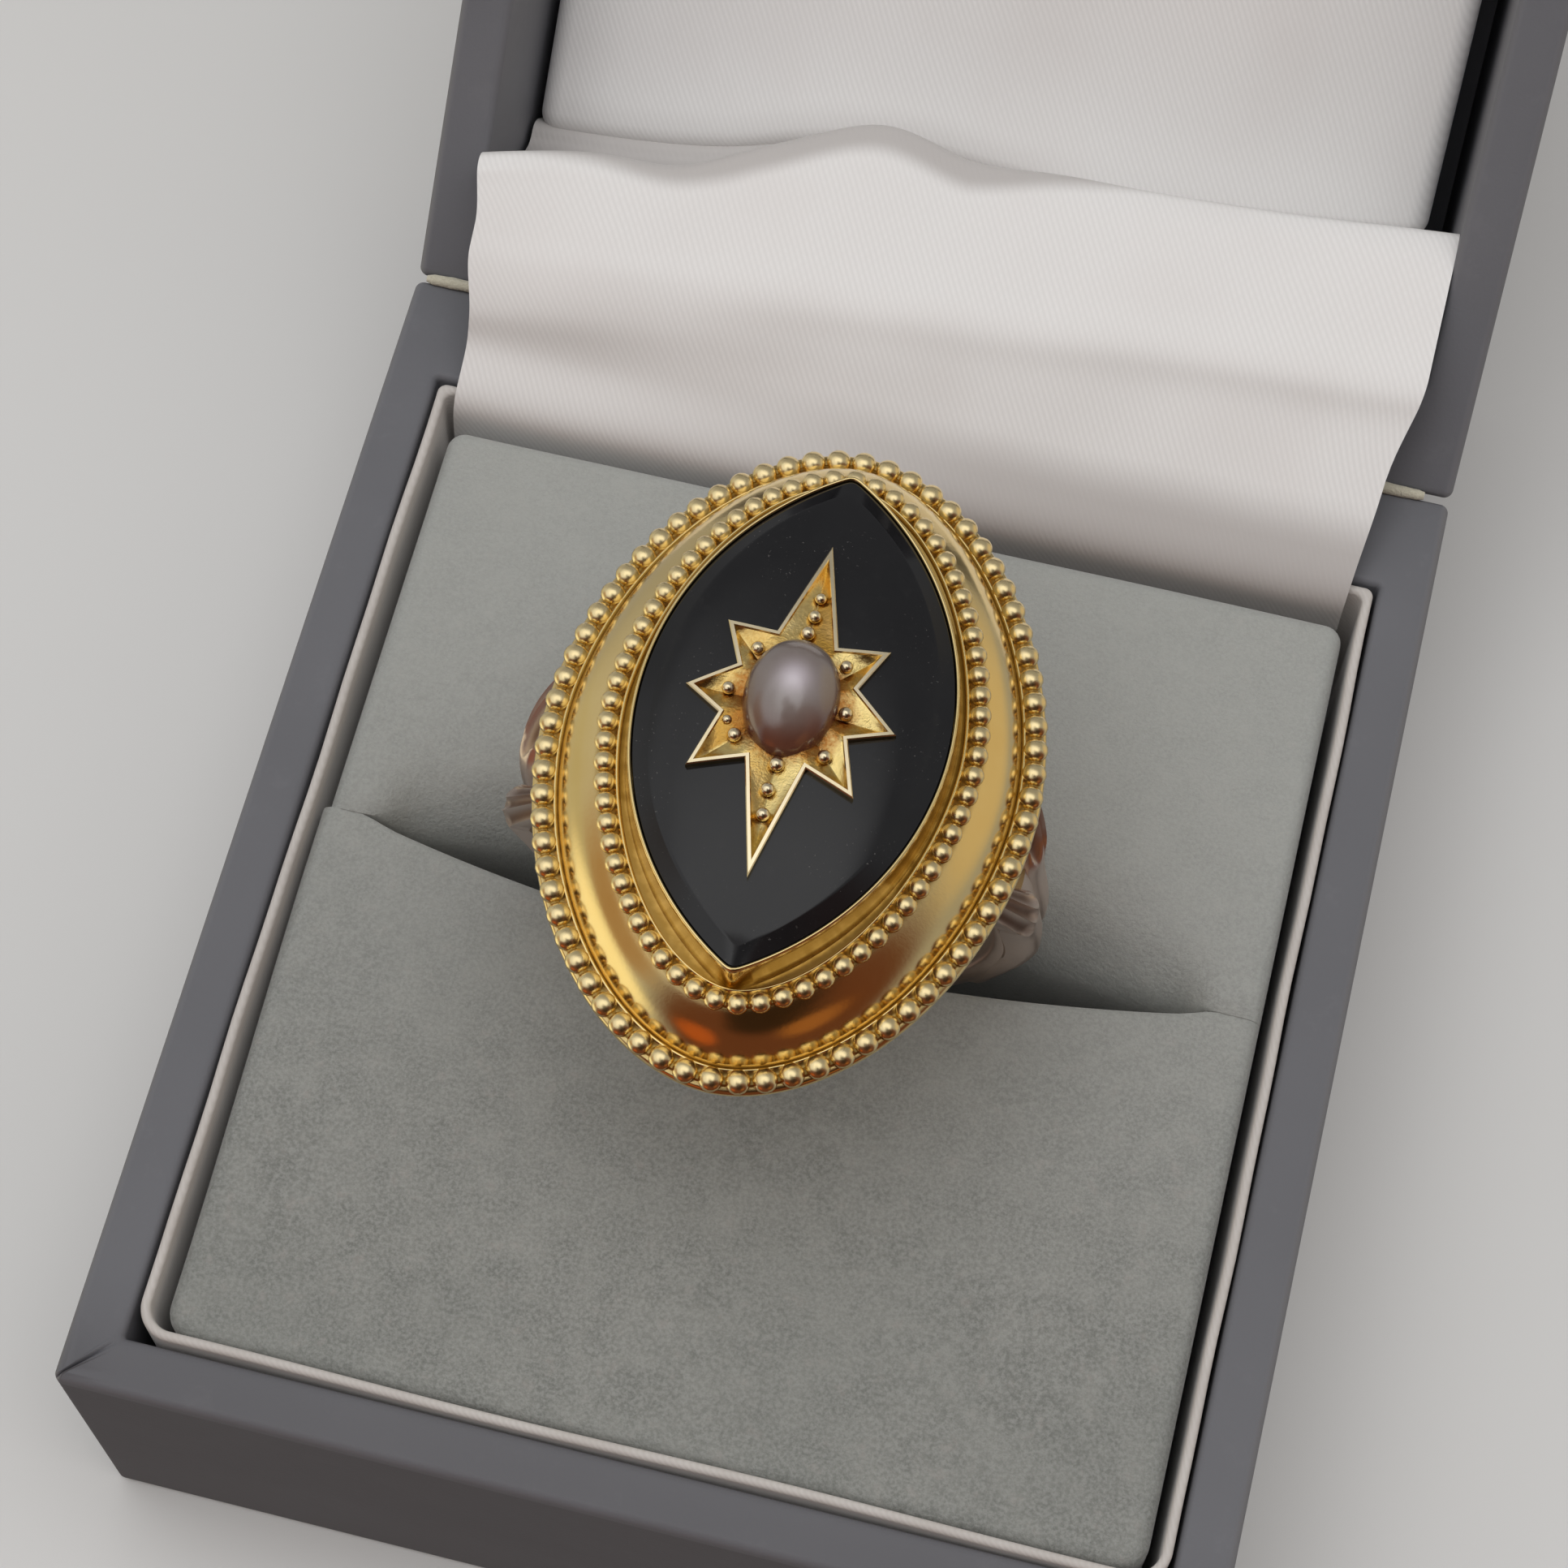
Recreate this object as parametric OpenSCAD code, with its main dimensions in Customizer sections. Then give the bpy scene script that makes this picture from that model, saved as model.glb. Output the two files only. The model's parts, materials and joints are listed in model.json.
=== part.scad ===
// Gold ring with a marquise onyx in a beaded oval bezel, standing in the slotted pad of a hinged ring box.
// The origin is the centre of the box's underside, +Z is up and the box opens towards -Y.

/* [Box] */
// Width of the box
box_w = 47; // [46:0.5:52]
// Depth of the box, front to back
box_d = 52; // [51:0.5:56]
// Height of the base
base_h = 17; // [16.5:0.1:17.5]
// Depth of the lid, from its rim to its top
lid_h = 22.55; // [22.2:0.05:22.6]
// Thickness of the side and front walls
wall = 2.3; // [1.8:0.1:2.5]
// Thickness of the wall along the hinge
hinge_wall = 4.7; // [3.5:0.1:5]
// Thickness of the base's floor
floor_t = 1.6; // [1:0.1:2.5]
// Thickness of the lid's top
lid_top_t = 1.1; // [0.8:0.1:1.1]
// Radius of the upright corners
corner_r = 0.5; // [0.4:0.1:1.5]
// Gap between the two rims when the lid is shut
rim_gap = 0.25; // [0.2:0.05:0.4]
// Angle by which the lid stands open
lid_open = 138.4; // [110:0.1:138.4]

/* [Lining] */
// Thickness of the satin covered collar inside the base
collar_t = 0.6; // [0.5:0.05:0.7]
// Radius of the collar's corners
collar_r = 2.4; // [1.5:0.1:4]
// Height of the collar above the base's rim
collar_proud = 0.2; // [0:0.05:0.3]
// Gap between the collar and the wall around it
collar_gap = 0.3; // [0.2:0.05:0.4]
// Gap between the pad and the collar
pad_gap = 0.4; // [0.3:0.05:0.5]
// Depth of the pad's top below the base's rim
pad_sunk = 0.3; // [0.1:0.05:1]
// Length of the slot between the two halves of the pad
slot_l = 36; // [34:0.5:37]
// Widest opening of the slot, round the ring
slot_w = 4.2; // [4:0.1:4.6]
// Thickness of the satin flap over the hinge
flap_t = 1; // [0.8:0.05:1]
// Depth of the lid's satin cushion below the lid's rim
cushion_sunk = 7.7; // [6:0.1:10]

/* [Ring] */
// Inside diameter of the hoop
finger_d = 17.5; // [16.5:0.1:17.8]
// Thickness of the hoop at its foot
hoop_t = 1.3; // [1.1:0.05:1.4]
// Width of the hoop at its foot
hoop_w = 2.4; // [2:0.1:2.6]
// Height of the outer row of beads above the hoop's centre
head_z = 10.4; // [10.2:0.1:10.6]
// Half width of the outer row of beads
outer_a = 9.3; // [9.1:0.05:9.5]
// Half length of the outer row of beads
outer_b = 13.3; // [13:0.05:13.6]
// Radius of the shoulders' outside, seen from the front
shoulder_r = 11.15; // [11:0.05:11.4]
// Angle by which the ring leans back in the slot
ring_lean = 1.2; // [0:0.1:2]
// Angle by which the ring is turned in the slot
ring_yaw = 1.2; // [0:0.1:2]

/* [Stones and star] */
// Half width of the onyx
onyx_a = 5.9; // [5.8:0.01:6]
// Half length of the onyx
onyx_b = 10.38; // [10.3:0.01:10.5]
// Height of the onyx's crown above the outer beads
crown_z = 4.68; // [4.5:0.02:4.8]
// Height of the onyx's edge, where its bevel starts, above the outer beads
onyx_edge_z = 3.85; // [3.7:0.01:3.9]
// Length of the star's two long points, from its centre
star_long = 7; // [6.8:0.05:7.4]
// Length of the star's points on the diagonals
star_diagonal = 4.4; // [4.2:0.05:4.6]
// Length of the star's points to the sides
star_side = 4.05; // [3.9:0.05:4.3]
// Distance of the star's notches from its centre
star_notch = 2.75; // [2.6:0.05:3]
// Half width of the pearl
pearl_a = 1.73; // [1.65:0.01:1.9]
// Half length of the pearl
pearl_b = 2.32; // [2.1:0.01:2.4]

/* [Hidden] */

$fn = 64;
fit_gap = 0.05;
over = 1;

// Lining, worked out inwards from the walls
front_y = -box_d / 2;
hinge_y = box_d / 2;
hinge_z = base_h + rim_gap / 2;
inner_a = box_w / 2 - wall;
inner_front = front_y + wall;
inner_back = hinge_y - hinge_wall;
collar_a = inner_a - collar_gap;
collar_front = inner_front + collar_gap;
collar_back = inner_back - collar_gap;
pad_a = collar_a - collar_t - pad_gap;
pad_front_y = collar_front + collar_t + 0.1;
pad_back_y = collar_back - collar_t - flap_t - 0.15;
pad_r = collar_r - collar_t;
pad_low = floor_t + 0.1;
pad_top = base_h - pad_sunk;
hinge_r = 0.45;
hinge_clear = 0.65;

// Slot, a lens between two equal arcs
slot_y = 0.45;
slot_half = slot_l / 2;
slot_c = slot_w / 2;
slot_r = (slot_half * slot_half + slot_c * slot_c) / (2 * slot_c);
slot_floor = 10;
slot_seam = 0.05;

// Ring
finger_r = finger_d / 2;
ring_x = -0.06;
ring_y = 0.62;
ring_z = 21.1;
hoop_round = 1.65;
shoulder_lift = 1.6;
bezel_foot = -0.85;

// Outline of one shoulder's arm from the side: distance from the middle plane, height above the hoop's centre
arm_side = [[0, -4], [1.25, -4], [1.6, 0.5], [3.7, 9.9], [2, 9.9], [0.3, 3.4], [0, 3.4]];

// Bezel sections from foot to top: height above the outer beads, inset of the width, inset of the length, roundness
bezel_sections = [
    [bezel_foot, 0.3, 0.3, 1.87],
    [-0.5, -0.42, -0.42, 1.87],
    [0, -0.4, -0.4, 1.87],
    [0.35, -0.1, -0.1, 1.87],
    [0.4, 0.62, 0.62, 1.86],
    [0.85, 0.85, 0.85, 1.84],
    [1.3, 1.1, 1.1, 1.82],
    [1.7, 1.4, 1.4, 1.8],
    [2.1, 1.95, 1.8, 1.78],
    [2.65, 2.02, 1.85, 1.78],
    [2.8, 2.8, 2.55, 1.76]
];
bezel_points = 72;
lip_t = 0.15;
lip_over = 0.1;
onyx_low = 0.6;
bevel_w = 0.7;
bevel_h = 0.55;
crown_r = 70;
star_t = 0.32;
star_tips = [star_long, star_diagonal, star_side, star_diagonal];
pearl_h = 1.5;
pearl_points = 24;

// Route of the satin flap's middle: distance back and height
flap_route = [[19.8, 12], [19.8, 17.6], [22.2, 20.1], [27, 22.1], [32.6, 23], [34.6, 21.4], [36.5, 18.2]];
flap_w = 40.2;
cushion_a = 19.9;
cushion_near = 7.2;
cushion_far = 48.8;
cushion_gap = 0.1;

// A point of a rounded oval outline, a superellipse, at an angle
function oval_point(a, b, n, t) =
    [a * sign(cos(t)) * pow(abs(cos(t)), 2 / n), b * sign(sin(t)) * pow(abs(sin(t)), 2 / n)];

// The unit normal to the left of a route at one of its points
function route_normal(route, i) =
    let (from = route[max(i - 1, 0)], to = route[min(i + 1, len(route) - 1)], d = to - from)
    [-d.y, d.x] / norm(d);

// A closed outline of even thickness along a route
function strip(route, t) = concat(
    [for (i = [0:len(route) - 1]) route[i] + route_normal(route, i) * t / 2],
    [for (i = [len(route) - 1:-1:0]) route[i] - route_normal(route, i) * t / 2]);

module rounded_slab(x, y0, y1, r, z0, z1) {
    translate([0, 0, z0]) linear_extrude(z1 - z0) {
        translate([-x, y0 + r]) square([2 * x, y1 - y0 - 2 * r]);
        translate([-x + r, y0]) square([2 * (x - r), y1 - y0]);
        for (sx = [-1, 1], y = [y0 + r, y1 - r]) translate([sx * (x - r), y]) circle(r);
    }
}

module slab(x, y0, y1, z0, z1) {
    translate([-x, y0, z0]) cube([2 * x, y1 - y0, z1 - z0]);
}

// A slab whose front corners are rounded and whose back corners, under the flap, are square
module lining_slab(x, y0, y1, r, z0, z1) {
    rounded_slab(x, y0, y1, r, z0, z1);
    slab(x, 0, y1, z0, z1);
}

module hinge_line(r, length) {
    translate([-length / 2, hinge_y, hinge_z]) rotate([0, 90, 0]) cylinder(r = r, h = length);
}

// The disc whose edge is one side of the slot, on the side that is given by a sign
module slot_disc(side) {
    translate([0, slot_y + side * (slot_r - slot_c), slot_floor]) cylinder(r = slot_r, h = base_h, $fn = 128);
}

// Places what is modelled about the hoop's centre in the slot
module in_slot() {
    translate([ring_x, ring_y, ring_z]) rotate([-ring_lean, 0, ring_yaw]) children();
}

// Places what is modelled for a shut lid where the open lid holds it
module on_open_lid() {
    translate([0, hinge_y, hinge_z]) rotate([-lid_open, 0, 0]) translate([0, -hinge_y, -hinge_z]) children();
}

// A prism whose outline is a marquise, the space that two equal discs share. Its top may be narrower than its foot
module marquise(a, b, z0, z1, taper = 0) {
    r = (a * a + b * b) / (2 * a);
    intersection_for (side = [-1, 1])
        translate([side * (r - a), 0, z0]) cylinder(r1 = r, r2 = r - taper, h = z1 - z0, $fn = 128);
}

// The dome that the onyx's top and the star follow, grown outwards by an amount
module crown(grow) {
    translate([0, 0, head_z + crown_z - crown_r]) sphere(r = crown_r + grow, $fn = 128);
}

// The oval frame from its foot to the inner row of beads, as one loft
module bezel_loft() {
    rows = len(bezel_sections);
    points = [for (s = bezel_sections, i = [0:bezel_points - 1])
        let (p = oval_point(outer_a - s[1], outer_b - s[2], s[3], 360 * i / bezel_points))
        [p.x, p.y, head_z + s[0]]];
    sides = [for (k = [0:rows - 2], i = [0:bezel_points - 1])
        let (j = (i + 1) % bezel_points, low = k * bezel_points, high = low + bezel_points)
        each [[low + i, high + j, low + j], [low + i, high + i, high + j]]];
    foot = [for (i = [0:bezel_points - 1]) i];
    top = [for (i = [bezel_points - 1:-1:0]) (rows - 1) * bezel_points + i];
    polyhedron(points, concat([foot], sides, [top]));
}

module hoop() {
    rotate([90, 0, 0]) rotate_extrude($fn = 96) intersection() {
        translate([finger_r, -hoop_w / 2]) square([hoop_t, hoop_w]);
        translate([finger_r + hoop_t - hoop_round, 0]) circle(hoop_round);
    }
}

// The forked shoulders, thicker than the hoop and cut to the arms' outline
module shoulders() {
    intersection() {
        difference() {
            translate([0, 0, shoulder_lift]) rotate([90, 0, 0])
                cylinder(r = shoulder_r, h = 4 * finger_r, center = true, $fn = 96);
            rotate([90, 0, 0]) cylinder(r = finger_r, h = 5 * finger_r, center = true, $fn = 96);
        }
        for (side = [0, 1]) mirror([0, side, 0])
            rotate([90, 0, 90]) linear_extrude(4 * finger_r, center = true) polygon(arm_side);
    }
}

module base_tray() {
    color("dimgray") difference() {
        rounded_slab(box_w / 2, front_y, hinge_y, corner_r, 0, base_h);
        slab(inner_a, inner_front, inner_back, floor_t, base_h + over);
        hinge_line(hinge_clear, box_w + 2 * over);
    }
}

module collar() {
    color("silver") difference() {
        lining_slab(collar_a, collar_front, collar_back, collar_r, pad_low, base_h + collar_proud);
        lining_slab(collar_a - collar_t, collar_front + collar_t, collar_back - collar_t,
                    collar_r - collar_t, 0, base_h + over);
    }
}

// One half of the pad, cut from the whole along the slot: -1 is the front half and 1 the back half
module pad_half(side) {
    difference() {
        lining_slab(pad_a, pad_front_y, pad_back_y, pad_r, pad_low, pad_top);
        slot_disc(-side);
        translate([0, slot_y + side * (slot_seam - box_d), 0]) slab(box_w, -box_d, box_d, 0, base_h);
    }
}

module pad_front() {
    color("darkgray") pad_half(-1);
}

module pad_back() {
    color("darkgray") pad_half(1);
}

module gold_mount() {
    color("goldenrod") in_slot() difference() {
        union() {
            hoop();
            shoulders();
            bezel_loft();
            marquise(onyx_a + fit_gap + lip_t, onyx_b + fit_gap + 1.5 * lip_t, head_z,
                     head_z + onyx_edge_z + lip_over);
        }
        marquise(onyx_a + fit_gap, onyx_b + fit_gap, head_z + onyx_low - fit_gap, head_z + crown_z);
        rotate([90, 0, 0]) cylinder(r = finger_r, h = 3 * finger_r, center = true, $fn = 96);
    }
}

module onyx() {
    color("black") in_slot() intersection() {
        union() {
            marquise(onyx_a, onyx_b, head_z + onyx_low, head_z + onyx_edge_z);
            marquise(onyx_a, onyx_b, head_z + onyx_edge_z, head_z + onyx_edge_z + 2 * bevel_h, 2 * bevel_w);
        }
        crown(0);
    }
}

module star() {
    corners = [for (i = [0:7]) each [
        star_tips[i % 4] * [sin(45 * i), cos(45 * i)],
        star_notch * [sin(45 * i + 22.5), cos(45 * i + 22.5)]]];
    color("gold") in_slot() intersection() {
        translate([0, 0, head_z + crown_z / 2]) linear_extrude(crown_z) polygon(corners);
        difference() {
            crown(fit_gap + star_t);
            crown(fit_gap);
        }
    }
}

module pearl() {
    seat = head_z + crown_z + star_t + 2 * fit_gap;
    outline = [for (i = [0:pearl_points]) let (t = 180 * i / pearl_points) [pearl_a * sin(t), pearl_b * cos(t)]];
    color("thistle") in_slot() intersection() {
        translate([0, 0, seat + pearl_h - pearl_a]) rotate([90, 0, 0]) rotate_extrude() polygon(outline);
        slab(2 * pearl_b, -2 * pearl_b, 2 * pearl_b, seat, seat + 2 * pearl_h);
    }
}

module hinge_strip() {
    color("ivory") hinge_line(hinge_r, box_w - 1);
}

module satin_flap() {
    color("gainsboro") rotate([90, 0, 90]) linear_extrude(flap_w, center = true) polygon(strip(flap_route, flap_t));
}

module lid_shell() {
    rim_z = base_h + rim_gap;
    color("dimgray") on_open_lid() difference() {
        rounded_slab(box_w / 2, front_y, hinge_y, corner_r, rim_z, rim_z + lid_h);
        slab(inner_a, inner_front, inner_back, rim_z - over, rim_z + lid_h - lid_top_t);
        hinge_line(hinge_clear, box_w + 2 * over);
    }
}

module lid_cushion() {
    rim_z = base_h + rim_gap;
    color("whitesmoke") on_open_lid()
        rounded_slab(cushion_a, hinge_y - cushion_far, hinge_y - cushion_near, corner_r,
                     rim_z + cushion_sunk, rim_z + lid_h - lid_top_t - cushion_gap);
}

base_tray();
collar();
pad_front();
pad_back();
gold_mount();
onyx();
star();
pearl();
hinge_strip();
satin_flap();
lid_shell();
lid_cushion();
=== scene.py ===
import json
import math

import bmesh
import bpy
import numpy as np
from mathutils import Matrix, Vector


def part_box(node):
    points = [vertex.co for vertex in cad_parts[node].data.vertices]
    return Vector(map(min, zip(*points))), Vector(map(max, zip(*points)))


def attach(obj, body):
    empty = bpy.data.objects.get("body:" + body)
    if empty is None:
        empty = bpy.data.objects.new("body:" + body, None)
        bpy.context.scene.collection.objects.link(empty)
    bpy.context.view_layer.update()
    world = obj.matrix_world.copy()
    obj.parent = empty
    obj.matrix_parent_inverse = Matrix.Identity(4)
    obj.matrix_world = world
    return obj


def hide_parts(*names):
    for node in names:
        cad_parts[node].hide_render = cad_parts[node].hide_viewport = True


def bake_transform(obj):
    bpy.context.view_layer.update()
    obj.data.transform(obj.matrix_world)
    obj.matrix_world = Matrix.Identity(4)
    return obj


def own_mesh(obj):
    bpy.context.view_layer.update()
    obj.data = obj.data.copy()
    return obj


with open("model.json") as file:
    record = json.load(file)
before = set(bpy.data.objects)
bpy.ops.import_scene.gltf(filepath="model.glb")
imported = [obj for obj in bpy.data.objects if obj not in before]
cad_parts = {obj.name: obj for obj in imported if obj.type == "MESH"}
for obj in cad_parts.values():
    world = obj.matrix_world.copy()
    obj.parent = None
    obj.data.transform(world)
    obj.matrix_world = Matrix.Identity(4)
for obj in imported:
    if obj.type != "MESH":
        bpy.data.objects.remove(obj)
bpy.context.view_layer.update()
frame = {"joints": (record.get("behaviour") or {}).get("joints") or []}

# The base of the box
# A stiff moulded tray, wrapped in smooth grey leatherette paper, which is folded over the soft rim and down
# inside the walls, with a mitred crease at each front corner. Sizes are in millimetres all through.
mm = 0.001
weld_gap = 0.001
corner_steps = 20
side_steps = 24


def span(node):
    """The lowest and highest corner of a part, in millimetres."""
    low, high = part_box(node)
    return np.array(low) / mm, np.array(high) / mm


def rounded_frame(x0, x1, y0, y1, radius):
    """Points once round a rectangle with rounded corners, always the same number."""
    centres = ((x1 - radius, y1 - radius), (x0 + radius, y1 - radius),
               (x0 + radius, y0 + radius), (x1 - radius, y0 + radius))
    arcs = []
    for quarter_at, centre in enumerate(centres):
        turn = np.linspace(quarter_at, quarter_at + 1, corner_steps + 1) * math.pi / 2
        arcs.append(np.array(centre) + radius * np.stack([np.cos(turn), np.sin(turn)], 1))
    share = np.linspace(0, 1, side_steps + 1)[1:-1, None]
    points = []
    for arc, following in zip(arcs, arcs[1:] + arcs[:1]):
        points += [arc, arc[-1] * (1 - share) + following[0] * share]
    return np.concatenate(points)


def quarter(steps):
    """Angles from nothing to a right angle, in even steps."""
    return np.linspace(0, 1, steps + 1) * math.pi / 2


def full_turn(steps):
    """Angles once round, in even steps."""
    return np.linspace(0, 2 * math.pi, steps, endpoint=False)


def level(outline, height):
    """An outline at one height, or at a height for each of its points."""
    return np.column_stack([outline, np.broadcast_to(height, len(outline))])


def loft(rings, joined=False):
    """Points and faces of the skin over closed rings with equally many points, capped or joined up."""
    count = len(rings[0])
    rows = len(rings)
    faces = []
    for row in range(rows if joined else rows - 1):
        low = row * count
        high = (row + 1) % rows * count
        for i in range(count):
            j = (i + 1) % count
            faces.append((low + i, low + j, high + j, high + i))
    if not joined:
        faces.append(tuple(range(count))[::-1])
        faces.append(tuple(range((rows - 1) * count, rows * count)))
    return np.concatenate(rings), faces


def put(name, data):
    """Puts an object into the scene."""
    made = bpy.data.objects.new(name, data)
    bpy.context.scene.collection.objects.link(made)
    return made


def make_piece(name, skin, finish, body, slot, replaces, place=None, sharp=40, **painted):
    """Makes a mesh piece from painted points in millimetres, and has it ride on a body of the box."""
    points, faces = skin
    points = points * mm
    if place is not None:
        turn = np.array(place)
        points = points @ turn[:3, :3].T + turn[:3, 3]
    mesh = bpy.data.meshes.new(name)
    mesh.from_pydata(points.tolist(), [], faces)
    for title, values in painted.items():
        values = np.concatenate(values).astype(np.float32)
        flat = values.ndim == 1
        layer = mesh.attributes.new(title, "FLOAT" if flat else "FLOAT_VECTOR", "POINT")
        layer.data.foreach_set("value" if flat else "vector", values.ravel())
    work = bmesh.new()
    work.from_mesh(mesh)
    bmesh.ops.remove_doubles(work, verts=work.verts, dist=weld_gap * mm)
    bmesh.ops.recalc_face_normals(work, faces=work.faces)
    work.to_mesh(mesh)
    work.free()
    mesh.shade_smooth()
    mesh.set_sharp_from_angle(angle=math.radians(sharp))
    mesh.materials.append(finish.material)
    made = put(name, mesh)
    if body:
        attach(made, body)
    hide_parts(*replaces)
    return made


class Shade:
    """A socket among shader nodes, so that shader maths reads as plain sums."""

    def __init__(self, nodes, socket):
        self.nodes = nodes
        self.socket = socket

    def __add__(self, other):
        return self.nodes.maths("ADD", self, other)

    def __sub__(self, other):
        return self.nodes.maths("SUBTRACT", self, other)

    def __rsub__(self, other):
        return self.nodes.maths("SUBTRACT", other, self)

    def __mul__(self, other):
        return self.nodes.maths("MULTIPLY", self, other)

    __radd__ = __add__
    __rmul__ = __mul__

    def wave(self):
        """A wave from 0 to 1, whose length is two pi."""
        return self.nodes.maths("SINE", self, 0) * 0.5 + 0.5

    def above(self, low, high):
        """0 below low and 1 above high, smoothly between."""
        return self.nodes.node("MapRange", {"interpolation_type": "SMOOTHSTEP"},
                               {"Value": self, "From Min": low, "From Max": high})


class Nodes:
    """The shader nodes of a finish or of the room."""

    def __init__(self, tree):
        self.tree = tree

    def node(self, kind, settings, sockets, output=0):
        """Adds any node. Its settings are set first, and then its sockets get their values or links."""
        made = self.tree.nodes.new("ShaderNode" + kind)
        for name, value in settings.items():
            setattr(made, name, value)
        for name, value in sockets.items():
            self.feed(made.inputs[name], value)
        return Shade(self, made.outputs[output])

    def feed(self, socket, value):
        """Links a socket, or sets its own value."""
        if isinstance(value, Shade):
            self.tree.links.new(value.socket, socket)
        elif socket.type == "RGBA":
            socket.default_value = (*value, 1)
        else:
            socket.default_value = value

    def maths(self, operation, first, second):
        return self.node("Math", {"operation": operation}, {0: first, 1: second})

    def mix(self, mask, first, second):
        """A colour between two, by a mask from 0 to 1."""
        return self.node("Mix", {"data_type": "RGBA"}, {0: mask, 6: first, 7: second}, 2)

    def layers(self, colour, *over):
        """A colour with others laid over it, each with its mask."""
        for mask, shade in over:
            colour = self.mix(mask, colour, shade)
        return colour

    def dot(self, first, second):
        """How far two vectors point the same way."""
        return self.node("VectorMath", {"operation": "DOT_PRODUCT"}, {0: first, 1: second}, 1)


class Finish(Nodes):
    """A material whose surface is one Principled shader."""

    def __init__(self, name, **surface):
        self.material = bpy.data.materials.new(name)
        self.material.use_nodes = True
        super().__init__(self.material.node_tree)
        self.shader = self.tree.nodes["Principled BSDF"]
        self.surface(**surface)

    def surface(self, **sockets):
        """Feeds the shader. A socket's name has underscores for its spaces."""
        for name, value in sockets.items():
            self.feed(self.shader.inputs[name.replace("_", " ")], value)

    def place(self):
        """The piece's own coordinates, in metres, which ride with it."""
        return self.node("TexCoord", {}, {}, 3)

    def painted(self, title, vector=False):
        """What a mesh's points were painted with."""
        return self.node("Attribute", {"attribute_name": title}, {}, 1 if vector else 2)

    def noise(self, size, detail=2, rough=0.5, where=None):
        """Cloudy noise from 0 to 1 whose blotches are about size millimetres across."""
        where = where or self.place()
        sockets = {"Vector": where, "Scale": 1 / (size * mm), "Detail": detail, "Roughness": rough}
        return self.node("TexNoise", {}, sockets)

    def bump(self, height, depth, under=None):
        """A normal that follows a height from 0 to 1, depth millimetres deep."""
        sockets = {"Height": height, "Distance": depth * mm, "Strength": 1}
        if under is not None:
            sockets["Normal"] = under
        return self.node("Bump", {}, sockets)


leatherette = Finish("grey_leatherette", Specular_IOR_Level=0.35)
paper_cloud = leatherette.noise(9, 3)
paper_grain = leatherette.noise(0.16, 3, 0.6)
paper_scuff = leatherette.noise(2.2, 5, 0.7).above(0.56, 0.7)
paper_edge = leatherette.painted("edge")
# painted shade on the outer sides of the base and the lid
paper_side = (paper_edge * -1).above(0.1, 0.9)
# painted shade on the front of the base
paper_near = leatherette.dot(leatherette.place(), (0, -1, 0)).above(0.021, 0.0255)
shaded_paper = (0.07, 0.065, 0.07)
paper = leatherette.mix(paper_cloud, (0.128, 0.13, 0.142), (0.165, 0.167, 0.182))
leatherette.surface(
    Base_Color=leatherette.layers(
        paper, (paper_edge.above(0, 1) * 0.35, (0.2, 0.2, 0.215)), (paper_scuff * 0.22, (0.19, 0.19, 0.205)),
        (paper_side * 0.5, shaded_paper), (paper_near * 0.3, shaded_paper)),
    Roughness=0.46 + 0.12 * paper_cloud - 0.08 * paper_edge,
    Normal=leatherette.bump(paper_grain, 0.012, leatherette.bump(paper_cloud, 0.12)),
)

wall = 2.3
hinge_wall = 4.7
tray_floor = 1.6
box_corner = 0.4
inner_corner = 0.12
foot_edge = 0.5
outer_edge = 0.42
inner_edge = 0.35
foot_steps = 3
outer_steps = 7
inner_steps = 4
side_fade = 0.3
inner_wear = 0.7
front_corners = (2, 3)
crease_depth = 0.26
crease_width = 0.08
ridge_height = 0.35
ridge_away = 0.3
ridge_width = 0.12


def wrapped_shell(low, high, floor):
    """A paper covered tray, open at the top. Its edges are marked 1, and its outer sides -1 for painted
    shade.
    """
    height = high[2]

    def outside(inset):
        return rounded_frame(low[0] + inset, high[0] - inset, low[1] + inset, high[1] - inset,
                             max(box_corner - inset, inner_corner))

    def inside(out):
        return rounded_frame(low[0] + wall - out, high[0] - wall + out, low[1] + wall - out,
                             high[1] - hinge_wall + out, inner_corner + out)

    rings, marks = [], []

    def add(outline, z, mark=0.0, crease=0.0):
        count = len(outline)
        dent = np.zeros(count)
        for corner in front_corners:
            middle = corner * count / 4 + corner_steps / 2
            away = np.abs(np.arange(count) - middle) / corner_steps
            ridge = ridge_height * np.exp(-((away - ridge_away) / ridge_width) ** 2)
            dent += np.exp(-(away / crease_width) ** 2) - ridge
        rings.append(level(outline, z - crease * crease_depth * dent))
        marks.append(np.full(count, float(mark)))

    for turn in quarter(foot_steps):
        add(outside(foot_edge * (1 - math.sin(turn))), foot_edge * (1 - math.cos(turn)), -1)
    add(outside(0), height / 2, -1)
    add(outside(0), height - outer_edge - side_fade, -1)
    for turn in quarter(outer_steps):
        add(outside(outer_edge * (1 - math.cos(turn))), height - outer_edge * (1 - math.sin(turn)),
            math.sin(2 * turn), turn / math.pi * 2)
    for share in (0.2, 0.4, 0.6, 0.8):
        add(outside(outer_edge) * (1 - share) + inside(inner_edge) * share, height, 0, 1 - share)
    for turn in quarter(inner_steps):
        add(inside(inner_edge * (1 - math.sin(turn))), height - inner_edge * (1 - math.cos(turn)),
            inner_wear * math.sin(2 * turn))
    add(inside(0), height / 2)
    add(inside(0), floor)
    return loft(rings), marks


tray_low, tray_high = span("base_tray")
tray_skin, tray_marks = wrapped_shell(tray_low, tray_high, tray_floor)
make_piece("base_tray_cover", tray_skin, leatherette, "base", "leatherette", ["base_tray"], edge=tray_marks)

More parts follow.
